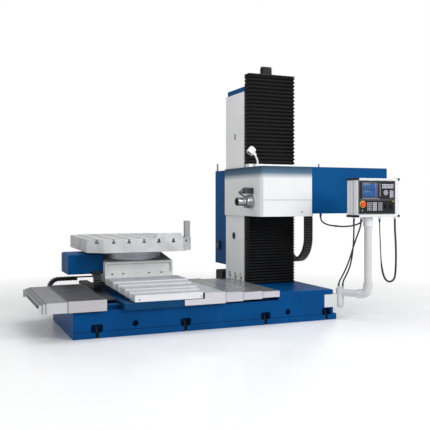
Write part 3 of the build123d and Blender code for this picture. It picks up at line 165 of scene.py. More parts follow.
WHITE = (1, 1, 1, 1)
GLOW_LEFT = 0.36
GLOW_RIGHT = 0.5
GLOW_TURN = 0.8
surround = bpy.data.worlds.new("white_surround")
surround.use_nodes = True
sky = surround.node_tree
glow = sky.nodes["Background"]
glow.inputs["Color"].default_value = WHITE
direction = sky.nodes.new("ShaderNodeTexCoord")
sides = sky.nodes.new("ShaderNodeSeparateXYZ")
white = sky.nodes.new("ShaderNodeBackground")
white.inputs["Color"].default_value = WHITE
seen = sky.nodes.new("ShaderNodeLightPath")
either = sky.nodes.new("ShaderNodeMixShader")
sky.links.new(direction.outputs["Generated"], sides.inputs["Vector"])
strength = spread(surround, sides.outputs["X"], GLOW_LEFT, GLOW_RIGHT, -GLOW_TURN, GLOW_TURN)
sky.links.new(strength, glow.inputs["Strength"])
sky.links.new(seen.outputs["Is Camera Ray"], either.inputs["Fac"])
sky.links.new(glow.outputs["Background"], either.inputs[1])
sky.links.new(white.outputs["Background"], either.inputs[2])
sky.links.new(either.outputs["Shader"], sky.nodes["World Output"].inputs["Surface"])
bpy.context.scene.world = surround
bpy.context.scene.view_settings.view_transform = "Standard"


def new_object(name, data):
    """An object of a curve, mesh or light in the scene."""
    piece = bpy.data.objects.new(name, data)
    bpy.context.scene.collection.objects.link(piece)
    return piece


def soft_light(name, place, aim, size, power):
    """A square soft box that faces a point."""
    lamp = bpy.data.lights.new(name, "AREA")
    lamp.size = size
    lamp.energy = power
    box = new_object(name, lamp)
    box.location = place
    box.rotation_euler = (Vector(aim) - Vector(place)).to_track_quat("-Z", "Y").to_euler()


MACHINE_MIDDLE = (0.3, 0.1, 0.9)
soft_light("key_light", (3.8, -6.0, 4.6), MACHINE_MIDDLE, 3.5, 355)
soft_light("fill_light", (-5.5, -3.0, 2.6), MACHINE_MIDDLE, 4.0, 96)
soft_light("top_light", (0.2, 0.2, 6.5), MACHINE_MIDDLE, 5.0, 190)


# The four free cords are black rubber sheathed: two control cables that hang from the pendant to
# the arm's pivot, a slack one from the head's tail to the pendant, and a hose that loops below it.
CABLE_DIAMETER = 0.016
HOSE_DIAMETER = 0.016
SMOOTH_ANGLE = math.radians(35)
FORWARD = (0, -1, 0)
LEFTWARD = (-1, 0, 0)
DOWN = (0, 0, -1)
UP = (0, 0, 1)


def cord_line(name, points):
    """A smooth curve whose control points are the cord's route."""
    curve = bpy.data.curves.new(name, "CURVE")
    curve.dimensions = "3D"
    curve.resolution_u = 10
    spline = curve.splines.new("NURBS")
    spline.points.add(len(points) - 1)
    for point, place in zip(spline.points, points):
        point.co = (*place, 1)
    spline.order_u = 3
    spline.use_endpoint_u = True
    return new_object(name, curve)


def cord_path(line):
    """Points read from the cord's own smooth line."""
    bare = bpy.data.meshes.new_from_object(line)
    path = [tuple(vertex.co) for vertex in bare.vertices]
    bpy.data.meshes.remove(bare)
    return path


def make_only(piece):
    """Selects one piece and makes it the active one."""
    bpy.ops.object.select_all(action="DESELECT")
    piece.select_set(True)
    bpy.context.view_layer.objects.active = piece


def sheathed(line, diameter, resolution=4):
    """Gives the cord's line its round sheath."""
    line.data.bevel_depth = diameter / 2
    line.data.bevel_resolution = resolution
    line.data.use_fill_caps = True


def as_tube(line, diameter, resolution=4):
    """Turns the cord's line into a round, smooth mesh."""
    sheathed(line, diameter, resolution)
    make_only(line)
    bpy.ops.object.convert(target="MESH")
    bpy.ops.object.shade_smooth()
    return bpy.context.object


cable_rubber = new_finish("cable_rubber", tone(24, 25, 27), 0.5)
grime = clouds(cable_rubber, 22)
feed(cable_rubber, blend_colours(cable_rubber, grime, tone(15, 16, 18), tone(38, 39, 42)), "Base Color")
patchy_gloss(cable_rubber, 160, 0.38, 0.62)


def turned(name, outline, sides=24):
    """A round piece drawn up along Z from its first circle, one (radius, height) step after another."""
    radius, height = outline[0]
    bpy.ops.object.select_all(action="DESELECT")
    bpy.ops.mesh.primitive_circle_add(
        vertices=sides, radius=radius, location=(0, 0, height), fill_type="NGON"
    )
    piece = bpy.context.object
    piece.name = name
    bpy.ops.object.transform_apply(location=True, rotation=True, scale=True)
    bpy.ops.object.mode_set(mode="EDIT")
    bpy.ops.mesh.select_all(action="SELECT")
    for next_radius, next_height in outline[1:]:
        bpy.ops.mesh.extrude_region_move(TRANSFORM_OT_translate={"value": (0, 0, next_height - height)})
        ratio = next_radius / radius
        bpy.ops.transform.resize(value=(ratio, ratio, 1))
        radius, height = next_radius, next_height
    bpy.ops.mesh.select_all(action="SELECT")
    bpy.ops.mesh.normals_make_consistent(inside=False)
    bpy.ops.object.mode_set(mode="OBJECT")
    bpy.ops.object.shade_smooth_by_angle(angle=SMOOTH_ANGLE)
    return piece


def joined(name, pieces):
    """Joins pieces to one object under a name."""
    bpy.ops.object.select_all(action="DESELECT")
    for piece in pieces:
        piece.select_set(True)
    bpy.context.view_layer.objects.active = pieces[0]
    bpy.ops.object.join()
    pieces[0].name = name
    return pieces[0]


def copied(model, place, toward):
    """A copy of a finished model at a place, turned from +Z to face one way."""
    turn = Vector(UP).rotation_difference(Vector(toward)).to_matrix().to_4x4()
    copy = model.copy()
    copy.data = model.data.copy()
    copy.data.transform(Matrix.Translation(place) @ turn)
    bpy.context.scene.collection.objects.link(copy)
    return copy


def set_out(model, name, places, toward=UP):
    """Copies a model to each place, facing one way, joins the copies and removes the model."""
    piece = joined(name, [copied(model, place, toward) for place in places])
    bpy.data.objects.remove(model)
    return piece


def coated(piece, finish):
    """Gives a piece its finish as its one material."""
    piece.data.materials.clear()
    piece.data.materials.append(finish)
    return piece


def fitted(piece, finish, body):
    """Coats a piece and lets it ride on a body."""
    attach(coated(piece, finish), body)
    return piece


BOOT_SIDES = 20
BOOT_OUTLINE = [
    (0.0118, 0), (0.0118, 0.004), (0.0096, 0.005), (0.0096, 0.008), (0.0106, 0.009), (0.0102, 0.012),
    (0.0092, 0.013), (0.0092, 0.016), (0.0100, 0.017), (0.0098, 0.020), (0.0088, 0.021), (0.0090, 0.026),
    (0.0082, 0.030),
]


def strain_relief(name, place, toward, body):
    """A ribbed rubber boot that tapers from a gland along the cord."""
    boot = turned("boot", BOOT_OUTLINE, BOOT_SIDES)
    return fitted(set_out(boot, name, [place], toward), cable_rubber, body)


def bending_cord(name, points, node, pieces):
    """A cable along its points, as a round mesh that stands in for a CAD node."""
    line = cord_line(name, points)
    path = cord_path(line)
    tube = coated(as_tube(line, CABLE_DIAMETER), cable_rubber)
    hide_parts(node)
    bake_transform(tube)


LEFT_CABLE = [
    (1.501, -0.720, 1.054), (1.501, -0.720, 0.998), (1.512, -0.702, 0.898),
    (1.526, -0.674, 0.788), (1.534, -0.642, 0.676), (1.534, -0.608, 0.566),
    (1.514, -0.572, 0.468), (1.480, -0.546, 0.390), (1.480, -0.546, 0.342),
]
MIDDLE_CABLE = [
    (1.537, -0.794, 1.054), (1.537, -0.794, 0.992), (1.520, -0.750, 0.884),
    (1.504, -0.704, 0.766), (1.494, -0.662, 0.650), (1.476, -0.618, 0.540),
    (1.454, -0.574, 0.448), (1.444, -0.524, 0.378), (1.444, -0.524, 0.342),
]
SLACK_CABLE_HEAD_PART = [
    (1.445, -0.164, 1.078), (1.445, -0.164, 1.032), (1.448, -0.214, 1.000),
    (1.452, -0.278, 0.984), (1.458, -0.350, 0.974), (1.471, -0.428, 0.971),
]
SLACK_CABLE_PENDANT_PART = [
    (1.471, -0.428, 0.971), (1.486, -0.506, 0.968), (1.508, -0.584, 0.972),
    (1.532, -0.648, 0.981), (1.558, -0.698, 0.996), (1.583, -0.738, 1.022),
    (1.583, -0.738, 1.076),
]
HOSE_Y = -0.850
HOSE_BENDS = [
    (1.724, 1.054), (1.724, 0.960), (1.731, 0.850), (1.737, 0.740), (1.741, 0.640), (1.752, 0.548),
    (1.774, 0.468), (1.802, 0.424), (1.843, 0.402), (1.886, 0.410), (1.916, 0.444), (1.926, 0.520),
    (1.930, 0.610), (1.930, 0.720), (1.926, 0.830), (1.916, 0.946), (1.916, 1.054),
]
HOSE = [(x, HOSE_Y, z) for x, z in HOSE_BENDS]
LOW_POINT = SLACK_CABLE_PENDANT_PART[0]
UNDER_GLAND = (1.583, -0.738, 1.054)
COUPLING_OUTLINE = [
    (0.0075, -0.030), (0.0095, -0.026), (0.0095, -0.004), (0.0110, -0.003), (0.0110, 0.003), (0.0095, 0.004),
    (0.0095, 0.026), (0.0075, 0.030),
]
GLAND_SIDES = 6
GLAND_OUTLINE = [
    (0.0115, 0), (0.0126, 0.0015), (0.0126, 0.0085), (0.0118, 0.010), (0.0112, 0.0105), (0.0112, 0.022),
]
along_cable = Vector(SLACK_CABLE_PENDANT_PART[1]) - Vector(SLACK_CABLE_HEAD_PART[-2])
coupling = set_out(turned("coupling", COUPLING_OUTLINE), "cable_coupling", [LOW_POINT], along_cable)
fitted(coupling, cable_rubber, "frame")
gland = turned("gland", GLAND_OUTLINE, GLAND_SIDES)
link_gland = set_out(gland, "link_cable_gland", [SLACK_CABLE_PENDANT_PART[-1]], DOWN)
fitted(link_gland, cable_rubber, "arm")

for side, points, length, still_below in (
    ("left", LEFT_CABLE, 0.743, 0.62),
    ("middle", MIDDLE_CABLE, 0.776, 0.55),
):
    bending_cord(
        f"{side}_control_cable",
        points,
        f"{side}_cable",
        pieces=[
            strain_relief(f"{side}_cable_boot", points[0], DOWN, "pendant"),
            strain_relief(f"{side}_cable_foot_boot", points[-1], UP, "arm"),
        ],
    )
bending_cord(
    "head_link_cable",
    SLACK_CABLE_HEAD_PART,
    "slack_cable",
    pieces=[strain_relief("head_cable_boot", SLACK_CABLE_HEAD_PART[0], DOWN, "head"), coupling],
)
bending_cord(
    "pendant_link_cable",
    SLACK_CABLE_PENDANT_PART,
    "slack_cable",
    pieces=[link_gland, strain_relief("link_cable_boot", UNDER_GLAND, DOWN, "arm")],
)

hose = cord_line("pendant_hose", HOSE)
sheathed(hose, HOSE_DIAMETER)
THIN_POINTS = 5
THIN_SHARE = 0.66
THICK_SHARE = 1.25
for index, point in enumerate(hose.data.splines[0].points):
    point.radius = THIN_SHARE if index < THIN_POINTS else THICK_SHARE
fitted(hose, cable_rubber, "pendant")
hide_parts("coolant_hose")
hose_boots = [
    strain_relief("hose_front_boot", HOSE[0], DOWN, "pendant"),
    strain_relief("hose_back_boot", HOSE[-1], DOWN, "pendant"),
]


# The bed is one long iron casting, filled, rubbed down and painted in blue machine enamel, which
# has chipped a little along its edges. It stands on levelling bolts in pockets along its foot.
BLUE = tone(0, 72, 130)
BLUE_DEEP = tone(0, 62, 114)


def rounded_normal(finish, radius):
    """Normal of the surface with its sharp edges eased."""
    bevel = finish.node_tree.nodes.new("ShaderNodeBevel")
    bevel.samples = 4
    bevel.inputs["Radius"].default_value = radius
    return bevel.outputs["Normal"]


def relief(finish, height, depth, edge_radius):
    """Raises the surface by a patchy height, in metres, over eased edges."""
    tree = finish.node_tree
    bump = tree.nodes.new("ShaderNodeBump")
    bump.inputs["Distance"].default_value = depth
    tree.links.new(height, bump.inputs["Height"])
    tree.links.new(rounded_normal(finish, edge_radius), bump.inputs["Normal"])
    feed(finish, bump.outputs["Normal"], "Normal")


def edge_wear(finish, radius, patch_scale):
    """Value that is high in patches along sharp edges."""
    tree = finish.node_tree
    geometry = tree.nodes.new("ShaderNodeNewGeometry")
    compare = tree.nodes.new("ShaderNodeVectorMath")
    compare.operation = "DOT_PRODUCT"
    tree.links.new(rounded_normal(finish, radius), compare.inputs[0])
    tree.links.new(geometry.outputs["Normal"], compare.inputs[1])
    edge = spread(finish, compare.outputs["Value"], 1, 0, 0.75, 0.97)
    product = tree.nodes.new("ShaderNodeMath")
    product.operation = "MULTIPLY"
    product.use_clamp = True
    tree.links.new(edge, product.inputs[0])
    tree.links.new(spread(finish, clouds(finish, patch_scale), 0, 1, 0.5, 0.62), product.inputs[1])
    return product.outputs["Value"]


def sheen(finish, level):
    """Sets how strongly a finish mirrors from straight ahead."""
    finish.node_tree.nodes["Principled BSDF"].inputs["Specular IOR Level"].default_value = level


def enamel(name, colour, deeper, worn, roughness=0.36, edge_radius=0.003):
    """Machine enamel: broad uneven tone, a faint brush-out texture, and worn edges."""
    finish = new_finish(name, colour, roughness)
    sheen(finish, 0.07)
    tint = blend_colours(finish, spread(finish, clouds(finish, 3.5), 0, 1), deeper, colour)
    feed(finish, blend_colours(finish, edge_wear(finish, edge_radius, 30), tint, worn), "Base Color")
    patchy_gloss(finish, 45, roughness - 0.07, roughness + 0.1)
    relief(finish, clouds(finish, 240, detail=2), 0.0004, edge_radius)
    return finish


def dress(finish, *names):
    """Gives CAD nodes their finish."""
    for name in names:
        for place in nodes[name].material_slots:
            place.material = finish


def grained(name, colour, roughness, metal, gloss, grain):
    """A finish with patches of gloss, (scale, low, high), and a fine grain, (scale, depth, edge radius)."""
    finish = new_finish(name, colour, roughness, metal)
    scale, low, high = gloss
    patchy_gloss(finish, scale, low, high)
    scale, depth, edge_radius = grain
    relief(finish, clouds(finish, scale), depth, edge_radius)
    return finish


dress(enamel("blue_enamel", BLUE, BLUE_DEEP, tone(60, 110, 160)), "bed")
black_oxide = grained("black_oxide", tone(34, 34, 37), 0.42, 0.6, (120, 0.34, 0.55), (700, 0.00008, 0.0004))

LEFT_POCKETS = (-1.139, -0.286, 0.567)
RIGHT_POCKET = 1.276
POCKET_FLOOR = 0.050
BOLT_INSET = 0.024
pad = turned("levelling_pad", [(0.0135, 0), (0.0135, 0.010), (0.0115, 0.013)])
stud = turned("levelling_stud", [(0.007, 0.012), (0.007, 0.094), (0.0058, 0.097)], 16)
washer = turned("levelling_washer", [(0.0195, POCKET_FLOOR), (0.0195, 0.0535), (0.0185, 0.0545)])
nut = turned("levelling_nut", [(0.0132, 0.0545), (0.0140, 0.0560), (0.0140, 0.0675), (0.0132, 0.0690)], 6)
levelling_bolt = joined("levelling_bolt", [pad, stud, washer, nut])
bed_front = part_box("bed")[0].y
front_places = [(x, bed_front + BOLT_INSET, 0) for x in (*LEFT_POCKETS, RIGHT_POCKET)]
back_places = [(x, -bed_front - BOLT_INSET, 0) for x in LEFT_POCKETS]
bolts = set_out(levelling_bolt, "levelling_bolts", front_places + back_places)
fitted(bolts, black_oxide, "frame")


def block(name, low, high, edge):
    """A block between two corners with its edges rounded."""
    middle = [(first + second) / 2 for first, second in zip(low, high)]
    size = [second - first for first, second in zip(low, high)]
    bpy.ops.object.select_all(action="DESELECT")
    bpy.ops.mesh.primitive_cube_add(size=1, location=middle, scale=size)
    piece = bpy.context.object
    piece.name = name
    bpy.ops.object.transform_apply(location=True, rotation=True, scale=True)
    rounding = piece.modifiers.new("rounding", "BEVEL")
    rounding.width = edge
    rounding.segments = 2
    bpy.ops.object.modifier_apply(modifier="rounding")
    bpy.ops.object.shade_smooth_by_angle(angle=SMOOTH_ANGLE)
    return piece


# The foot's edge is real; the thin dark blue strip drawn along it is painted shadow, the shade line under the
# foot's step.
FOOT_LINE = 0.062
HALF_LINE = 0.0025
FOOT_RUNS = ((-1.350, -1.197), (-1.081, -0.344), (-0.228, 0.509), (0.625, 1.218))
shadow_blue = enamel("shadow_blue", tone(0, 34, 66), tone(0, 28, 56), tone(0, 44, 82), 0.5, 0.0005)
foot_shadow_lines = [
    block(
        "foot_shadow_line",
        (left, bed_front - 0.0004, FOOT_LINE - HALF_LINE),
        (right, bed_front + 0.001, FOOT_LINE + HALF_LINE),
        0.0004,
    )
    for left, right in FOOT_RUNS
]
fitted(joined("bed_foot_shadow_line", foot_shadow_lines), shadow_blue, "frame")


# The column is a tall ribbed iron casting in light grey enamel. Nuts in three pockets hold its foot
# to the bed's seat, a rubber plug closes the port in its left side, and a latch holds the oil door.
dress(enamel("column_grey", tone(240, 241, 242), tone(231, 233, 235), tone(196, 198, 200)), "column")
column_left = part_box("column")[0].x
POCKET_SHELF = 0.348
NUT_INSET = 0.010
foot_washer = turned("foot_washer", [(0.0095, 0), (0.0095, 0.002), (0.009, 0.0025)], 20)
foot_nut = turned("foot_nut", [(0.0088, 0.0025), (0.0094, 0.004), (0.0094, 0.014), (0.0086, 0.0155)], 6)
foot_stud = turned("foot_stud", [(0.0055, 0.010), (0.0055, 0.028), (0.0045, 0.030)], 16)
foot_fixing = joined("foot_fixing", [foot_washer, foot_nut, foot_stud])
nut_places = [(column_left + NUT_INSET, y, POCKET_SHELF) for y in (0.360, 0.510, 0.670)]
fitted(set_out(foot_fixing, "column_foot_nuts", nut_places), black_oxide, "frame")

PORT_DEPTH = 0.014
PORT_PLACE = (column_left + PORT_DEPTH, 0.547, 0.834)
PLUG_OUTLINE = [
    (0.0400, 0), (0.0412, 0.002), (0.0412, 0.012), (0.0395, 0.0145), (0.0365, 0.0145), (0.0345, 0.011),
    (0.0345, 0.006), (0.0120, 0.005), (0.0100, 0.008), (0.0060, 0.009),
]
port_plug = set_out(turned("plug", PLUG_OUTLINE, 40), "column_port_plug", [PORT_PLACE], LEFTWARD)
fitted(port_plug, cable_rubber, "frame")

dark_latch = grained("dark_latch", tone(88, 90, 94), 0.4, 0, (150, 0.32, 0.5), (600, 0.0001, 0.001))
LATCH_Y = 0.513
LATCH_Z = 1.980
latch = joined(
    "column_latch",
    [
        block(
            "latch_plate",
            (column_left - 0.0014, LATCH_Y - 0.015, LATCH_Z - 0.032),
            (column_left + 0.001, LATCH_Y + 0.015, LATCH_Z + 0.032),
            0.0008,
        ),
        block(
            "latch_lever",
            (column_left - 0.0026, LATCH_Y - 0.006, LATCH_Z - 0.024),
            (column_left, LATCH_Y + 0.006, LATCH_Z + 0.022),
            0.0010,
        ),
    ],
)
fitted(latch, dark_latch, "frame")


# The cap is a folded blue sheet over the column's top, and the lift motor stands on the bracket
# before it under a finned cowl.
sheet_blue = enamel("sheet_blue", tone(4, 78, 134), tone(3, 70, 123), tone(52, 112, 162))
dress(sheet_blue, "column_cap")
motor_grey = enamel("motor_grey", tone(52, 54, 58), tone(42, 44, 48), tone(88, 90, 94), 0.45, 0.002)
dress(motor_grey, "top_motor", "feed_motor")
plastic_black = grained("plastic_black", tone(22, 22, 24), 0.45, 0, (60, 0.36, 0.56), (900, 0.00015, 0.001))
sheen(plastic_black, 0.3)
dress(plastic_black, "head_plate")

RIBS = 6
RIB_PITCH = 0.012
RIB_WIDTH = 0.005
RIB_PROUD = 0.003
FIRST_RIB = 0.014
motor_low, motor_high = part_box("top_motor")
ribs = [
    block(
        "motor_rib",
        (motor_low.x - RIB_PROUD, motor_low.y - RIB_PROUD, z),
        (motor_high.x + RIB_PROUD, motor_high.y + RIB_PROUD, z + RIB_WIDTH),
        0.0015,
    )
    for z in [motor_low.z + FIRST_RIB + RIB_PITCH * index for index in range(RIBS)]
]
fitted(joined("motor_ribs", ribs), motor_grey, "frame")


# The bellows are folded from coated black cloth over stiff frames, one fold in each of their
# pleats. They open and close with the head; a clean copy of each, with rounded fold tips, stands
# in for its CAD node.
TIP_ROUNDING = 0.0015
PLEAT_ANGLE = math.radians(30)
MERGE_DISTANCE = 0.00002
bellows_cloth = grained("bellows_cloth", tone(11, 11, 12), 0.5, 0, (70, 0.4, 0.62), (800, 0.0002, 0.0015))
sheen(bellows_cloth, 0.12)


def by_upward(finish, vector, low, high):
    """Value that goes from 0 to 1 as the upward part of a vector passes from one value to another."""
    axes = finish.node_tree.nodes.new("ShaderNodeSeparateXYZ")
    finish.node_tree.links.new(vector, axes.inputs["Vector"])
    return spread(finish, axes.outputs["Z"], 0, 1, low, high)


def by_slope(finish, low, high):
    """Value that goes from 0 to 1 as the surface turns from one slope to another."""
    geometry = finish.node_tree.nodes.new("ShaderNodeNewGeometry")
    return by_upward(finish, geometry.outputs["Normal"], low, high)


weave = blend_colours(bellows_cloth, clouds(bellows_cloth, 14), tone(14, 14, 15), tone(30, 30, 32))
# Painted light and shade: pleat slopes that face up keep the cloth's tone, and those that face down are
# painted near black.
upper_slope_light = by_slope(bellows_cloth, -0.2, 0.4)
feed(bellows_cloth, blend_colours(bellows_cloth, upper_slope_light, tone(4, 4, 4), weave), "Base Color")


def moving_copy(name, node):
    """A copy of a CAD node as one clean mesh that stands in for it."""
    piece = new_object(name, nodes[node].data.copy())
    make_only(piece)
    bpy.ops.object.mode_set(mode="EDIT")
    bpy.ops.mesh.select_all(action="SELECT")
    bpy.ops.mesh.remove_doubles(threshold=MERGE_DISTANCE)
    bpy.ops.mesh.dissolve_limited(angle_limit=math.radians(1))
    bpy.ops.object.mode_set(mode="OBJECT")
    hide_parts(node)
    return piece


for name, node, fixed_end, moving_end in (
    ("upper_pleats", "upper_bellows", 2.650, 1.650),
    ("lower_pleats", "lower_bellows", 0.314, 1.072),
):
    pleats = moving_copy(name, node)
    tips = pleats.modifiers.new("tips", "BEVEL")
    tips.width = TIP_ROUNDING
    tips.segments = 2
    bpy.ops.object.modifier_apply(modifier="tips")
    bpy.ops.object.shade_smooth_by_angle(angle=PLEAT_ANGLE)
    coated(pleats, bellows_cloth)
    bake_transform(pleats)


# The cabinet behind the column is folded blue sheet with a hinged door and a row of louvres on its
# back, the main switch on its left side and a signal lamp on its top.
dress(sheet_blue, "cabinet")
dress(plastic_black, "isolator")
cabinet_low, cabinet_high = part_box("cabinet")
DOOR_MARGIN = 0.020
DOOR_PROUD = 0.004
LOUVRES = 7
LOUVRE_PITCH = 0.022
LOUVRE_HEIGHT = 0.011
LOUVRE_MARGIN = 0.150
FIRST_LOUVRE = 0.090
door = block(
    "cabinet_door",
    (cabinet_low.x + DOOR_MARGIN, cabinet_high.y - 0.001, cabinet_low.z + DOOR_MARGIN),
    (cabinet_high.x - DOOR_MARGIN, cabinet_high.y + DOOR_PROUD, cabinet_high.z - DOOR_MARGIN),
    0.0035,
)
louvres = [
    block(
        "louvre",
        (cabinet_low.x + LOUVRE_MARGIN, cabinet_high.y + 0.003, z),
        (cabinet_high.x - LOUVRE_MARGIN, cabinet_high.y + 0.009, z + LOUVRE_HEIGHT),
        0.003,
    )
    for z in [cabinet_low.z + FIRST_LOUVRE + LOUVRE_PITCH * index for index in range(LOUVRES)]
]
fitted(joined("cabinet_door", [door, *louvres]), sheet_blue, "frame")
hinge = turned("hinge", [(0.0055, -0.040), (0.0065, -0.038), (0.0065, 0.038), (0.0055, 0.040)], 16)
hinge_places = [(cabinet_low.x + 0.013, cabinet_high.y + 0.005, z) for z in (0.62, 1.04, 1.46)]
hinges = set_out(hinge, "hinges", hinge_places)
door_latches = [
    block(
        "door_latch",
        (cabinet_high.x - 0.060, cabinet_high.y + 0.003, z - 0.024),
        (cabinet_high.x - 0.036, cabinet_high.y + 0.016, z + 0.024),
        0.004,
    )
    for z in (0.72, 1.36)
]
fitted(joined("cabinet_hinges", [hinges, *door_latches]), dark_latch, "frame")

switch_low, switch_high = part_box("isolator")
SWITCH_OUTLINE = [(0.030, 0), (0.030, 0.002), (0.028, 0.003), (0.020, 0.003), (0.0185, 0.010)]
switch_plate = turned("switch_plate", SWITCH_OUTLINE, 32)
switch_handle = block("switch_handle", (-0.0065, -0.026, 0.003), (0.0065, 0.026, 0.014), 0.003)
switch_knob = joined("switch_knob", [switch_plate, switch_handle])
switch_middle = (switch_low.x, (switch_low.y + switch_high.y) / 2, (switch_low.z + switch_high.z) / 2)
fitted(set_out(switch_knob, "main_switch", [switch_middle], LEFTWARD), dark_latch, "frame")


def by_height(finish, low, high):
    """Value that goes from 0 to 1 between two heights on the object."""
    place = finish.node_tree.nodes.new("ShaderNodeTexCoord")
    return by_upward(finish, place.outputs["Object"], low, high)


SIGNAL_CAP = 1.622
signal_finish = new_finish("signal_plastic", tone(190, 150, 120), 0.25)
cap_share = by_height(signal_finish, SIGNAL_CAP, SIGNAL_CAP + 0.018)
signal_tint = blend_colours(signal_finish, cap_share, tone(226, 120, 44), tone(176, 170, 168))
feed(signal_finish, signal_tint, "Base Color")
patchy_gloss(signal_finish, 200, 0.2, 0.34)
dress(signal_finish, "signal_lamp")


# The telescopic covers are plates of ground stainless sheet, folded down at both sides, each with
# a wiper lip that rides on the next smaller one. Their folded sides are painted lighter than their
# tops as painted light, the tops of the right covers under the head and of the left one under the
# table carry painted shade, and the covers further left are a darker, rougher grey.
def darkened(colour, share):
    """The colour with a share of its light."""
    return [share * part for part in colour[:3]] + [1]


def ground_sheet(name, top, side, roughness, metal):
    """Sheet steel ground across the bed, with long faint streaks, partly scratches and smears and partly
    painted reflection, and painted light that makes its folded sides lighter.
    """
    finish = new_finish(name, top, roughness, metal)
    sheen(finish, 0.3)
    # Long darker streaks across the bed: partly grinding marks and smears, partly painted reflection of the
    # column.
    streaks_and_reflection = spread(finish, clouds(finish, 5, (14, 1, 14), 3), 0, 1)
    upper = blend_colours(finish, streaks_and_reflection, darkened(top, 0.82), top)
    # Painted light: faces that turn from flat to upright take the lighter side colour.
    feed(finish, blend_colours(finish, by_slope(finish, 0.5, 0.9), side, upper), "Base Color")
    patchy_gloss(finish, 4, roughness - 0.06, roughness + 0.1, (1, 3, 1))
    relief(finish, clouds(finish, 12, (20, 1, 20), 2), 0.00002, 0.001)
    return finish


cover_sheet = ground_sheet("cover_sheet", tone(190, 193, 200), tone(206, 204, 212), 0.34, 0.35)
dress(cover_sheet, "right_cover_1", "saddle_apron")
# The darker tops of right covers 2 to 4 are painted shade from the head above them.
shaded_mirror_sheet = ground_sheet("shaded_mirror_sheet", tone(152, 156, 159), tone(204, 202, 210), 0.24, 0.5)
dress(shaded_mirror_sheet, "right_cover_2", "right_cover_3", "right_cover_4")
# The much darker top of the left cover beside the saddle is painted shadow of the table over it.
shaded_sheet = ground_sheet("shaded_sheet", tone(82, 83, 86), tone(186, 184, 187), 0.42, 0.25)
dress(shaded_sheet, "left_cover_1")
dull_sheet = ground_sheet("dull_sheet", tone(140, 140, 143), tone(196, 197, 200), 0.48, 0.2)
dress(dull_sheet, "left_cover_2", "left_cover_3", "left_cover_4")
dark_steel = grained("dark_steel", tone(84, 84, 88), 0.4, 0.7, (40, 0.32, 0.55), (300, 0.0001, 0.001))
dress(dark_steel, "left_cover_bracket", "cover_link", "chain_tray", "chain_arm", "chain_trough")


SCREW_RADIUS = 0.0055
SCREW_HEIGHT = 0.004
SCREW_SIDES = 18


def socket_screw(radius, height):
    """A round screw head on the plane z = 0, with a socket sunk in its face."""
    outline = [(radius, 0), (radius, 0.8 * height), (0.86 * radius, height), (0.5 * radius, height)]
    head = turned("socket_screw", outline, SCREW_SIDES)
    bpy.ops.object.mode_set(mode="EDIT")
    bpy.ops.mesh.select_mode(type="FACE")
    bpy.ops.mesh.select_all(action="DESELECT")
    bpy.ops.object.mode_set(mode="OBJECT")
    for face in head.data.polygons:
        middle = face.center
        face.select = middle.z > 0.99 * height and math.hypot(middle.x, middle.y) < 0.1 * radius
    bpy.ops.object.mode_set(mode="EDIT")
    bpy.ops.mesh.extrude_region_move(TRANSFORM_OT_translate={"value": (0, 0, -0.55 * height)})
    bpy.ops.object.mode_set(mode="OBJECT")
    return head


def screws(name, places, toward, body):
    """Socket screws that face one way."""
    model = socket_screw(SCREW_RADIUS, SCREW_HEIGHT)
    fitted(set_out(model, name, places, toward), black_oxide, body)


WIPER_WIDTH = 0.0035
WIPER_PROUD = 0.0006
WIPER_EDGES = (
    ("right_cover_1", "saddle", 1),
    ("right_cover_2", "right_plate_2", 1),
    ("right_cover_3", "right_plate_3", 1),
    ("left_cover_1", "saddle", -1),
    ("left_cover_2", "left_plate_2", -1),
    ("left_cover_3", "left_plate_3", -1),
)
wiper_rubber = grained("wiper_rubber", tone(70, 71, 74), 0.6, 0, (90, 0.5, 0.7), (500, 0.0001, 0.0005))
for cover, body, side in WIPER_EDGES:
    low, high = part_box(cover)
    outer = high.x if side > 0 else low.x
    left, right = sorted((outer, outer - side * WIPER_WIDTH))
    wiper = joined(
        f"{cover}_wiper",
        [
            block("wiper_top", (left, low.y, high.z - 0.001), (right, high.y, high.z + WIPER_PROUD), 0.0004),
            block("wiper_front", (left, low.y - WIPER_PROUD, low.z), (right, low.y + 0.001, high.z), 0.0004),
            block("wiper_back", (left, high.y - 0.001, low.z), (right, high.y + WIPER_PROUD, high.z), 0.0004),
        ],
    )
    fitted(wiper, wiper_rubber, body)


# The saddle is a dark blue casting across the bed, with its own telescopic plates in front of the
# table's slide.
dress(enamel("saddle_enamel", tone(18, 66, 106), tone(14, 58, 96), tone(70, 112, 146)), "saddle")
cross_sheet = ground_sheet("cross_sheet", tone(190, 191, 200), tone(226, 227, 230), 0.34, 0.3)
dress(cross_sheet, *[f"cross_cover_{index}" for index in (1, 2, 3, 4, 5)])
LIP_SCREW_HEIGHT = 0.333
lip_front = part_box("cross_cover_5")[0].y
lip_screw_places = [(x, lip_front, LIP_SCREW_HEIGHT) for x in (-0.756, -0.142)]
screws("cross_cover_screws", lip_screw_places, FORWARD, "saddle")


# The table's slide is a white casting with recessed windows and a dark oiled deck, whose darker
# tone is partly its own and partly painted shadow of the table above. A ground ring turns on it,
# and the heavy iron table on top is planed all round and along its slots; its downward faces are
# painted dark as shade.
base_white = enamel("base_white", tone(228, 229, 228), tone(218, 219, 218), tone(178, 178, 176))
DECK_HEIGHT = 0.604
casting_tint = base_white.node_tree.nodes["Principled BSDF"].inputs["Base Color"].links[0].from_socket
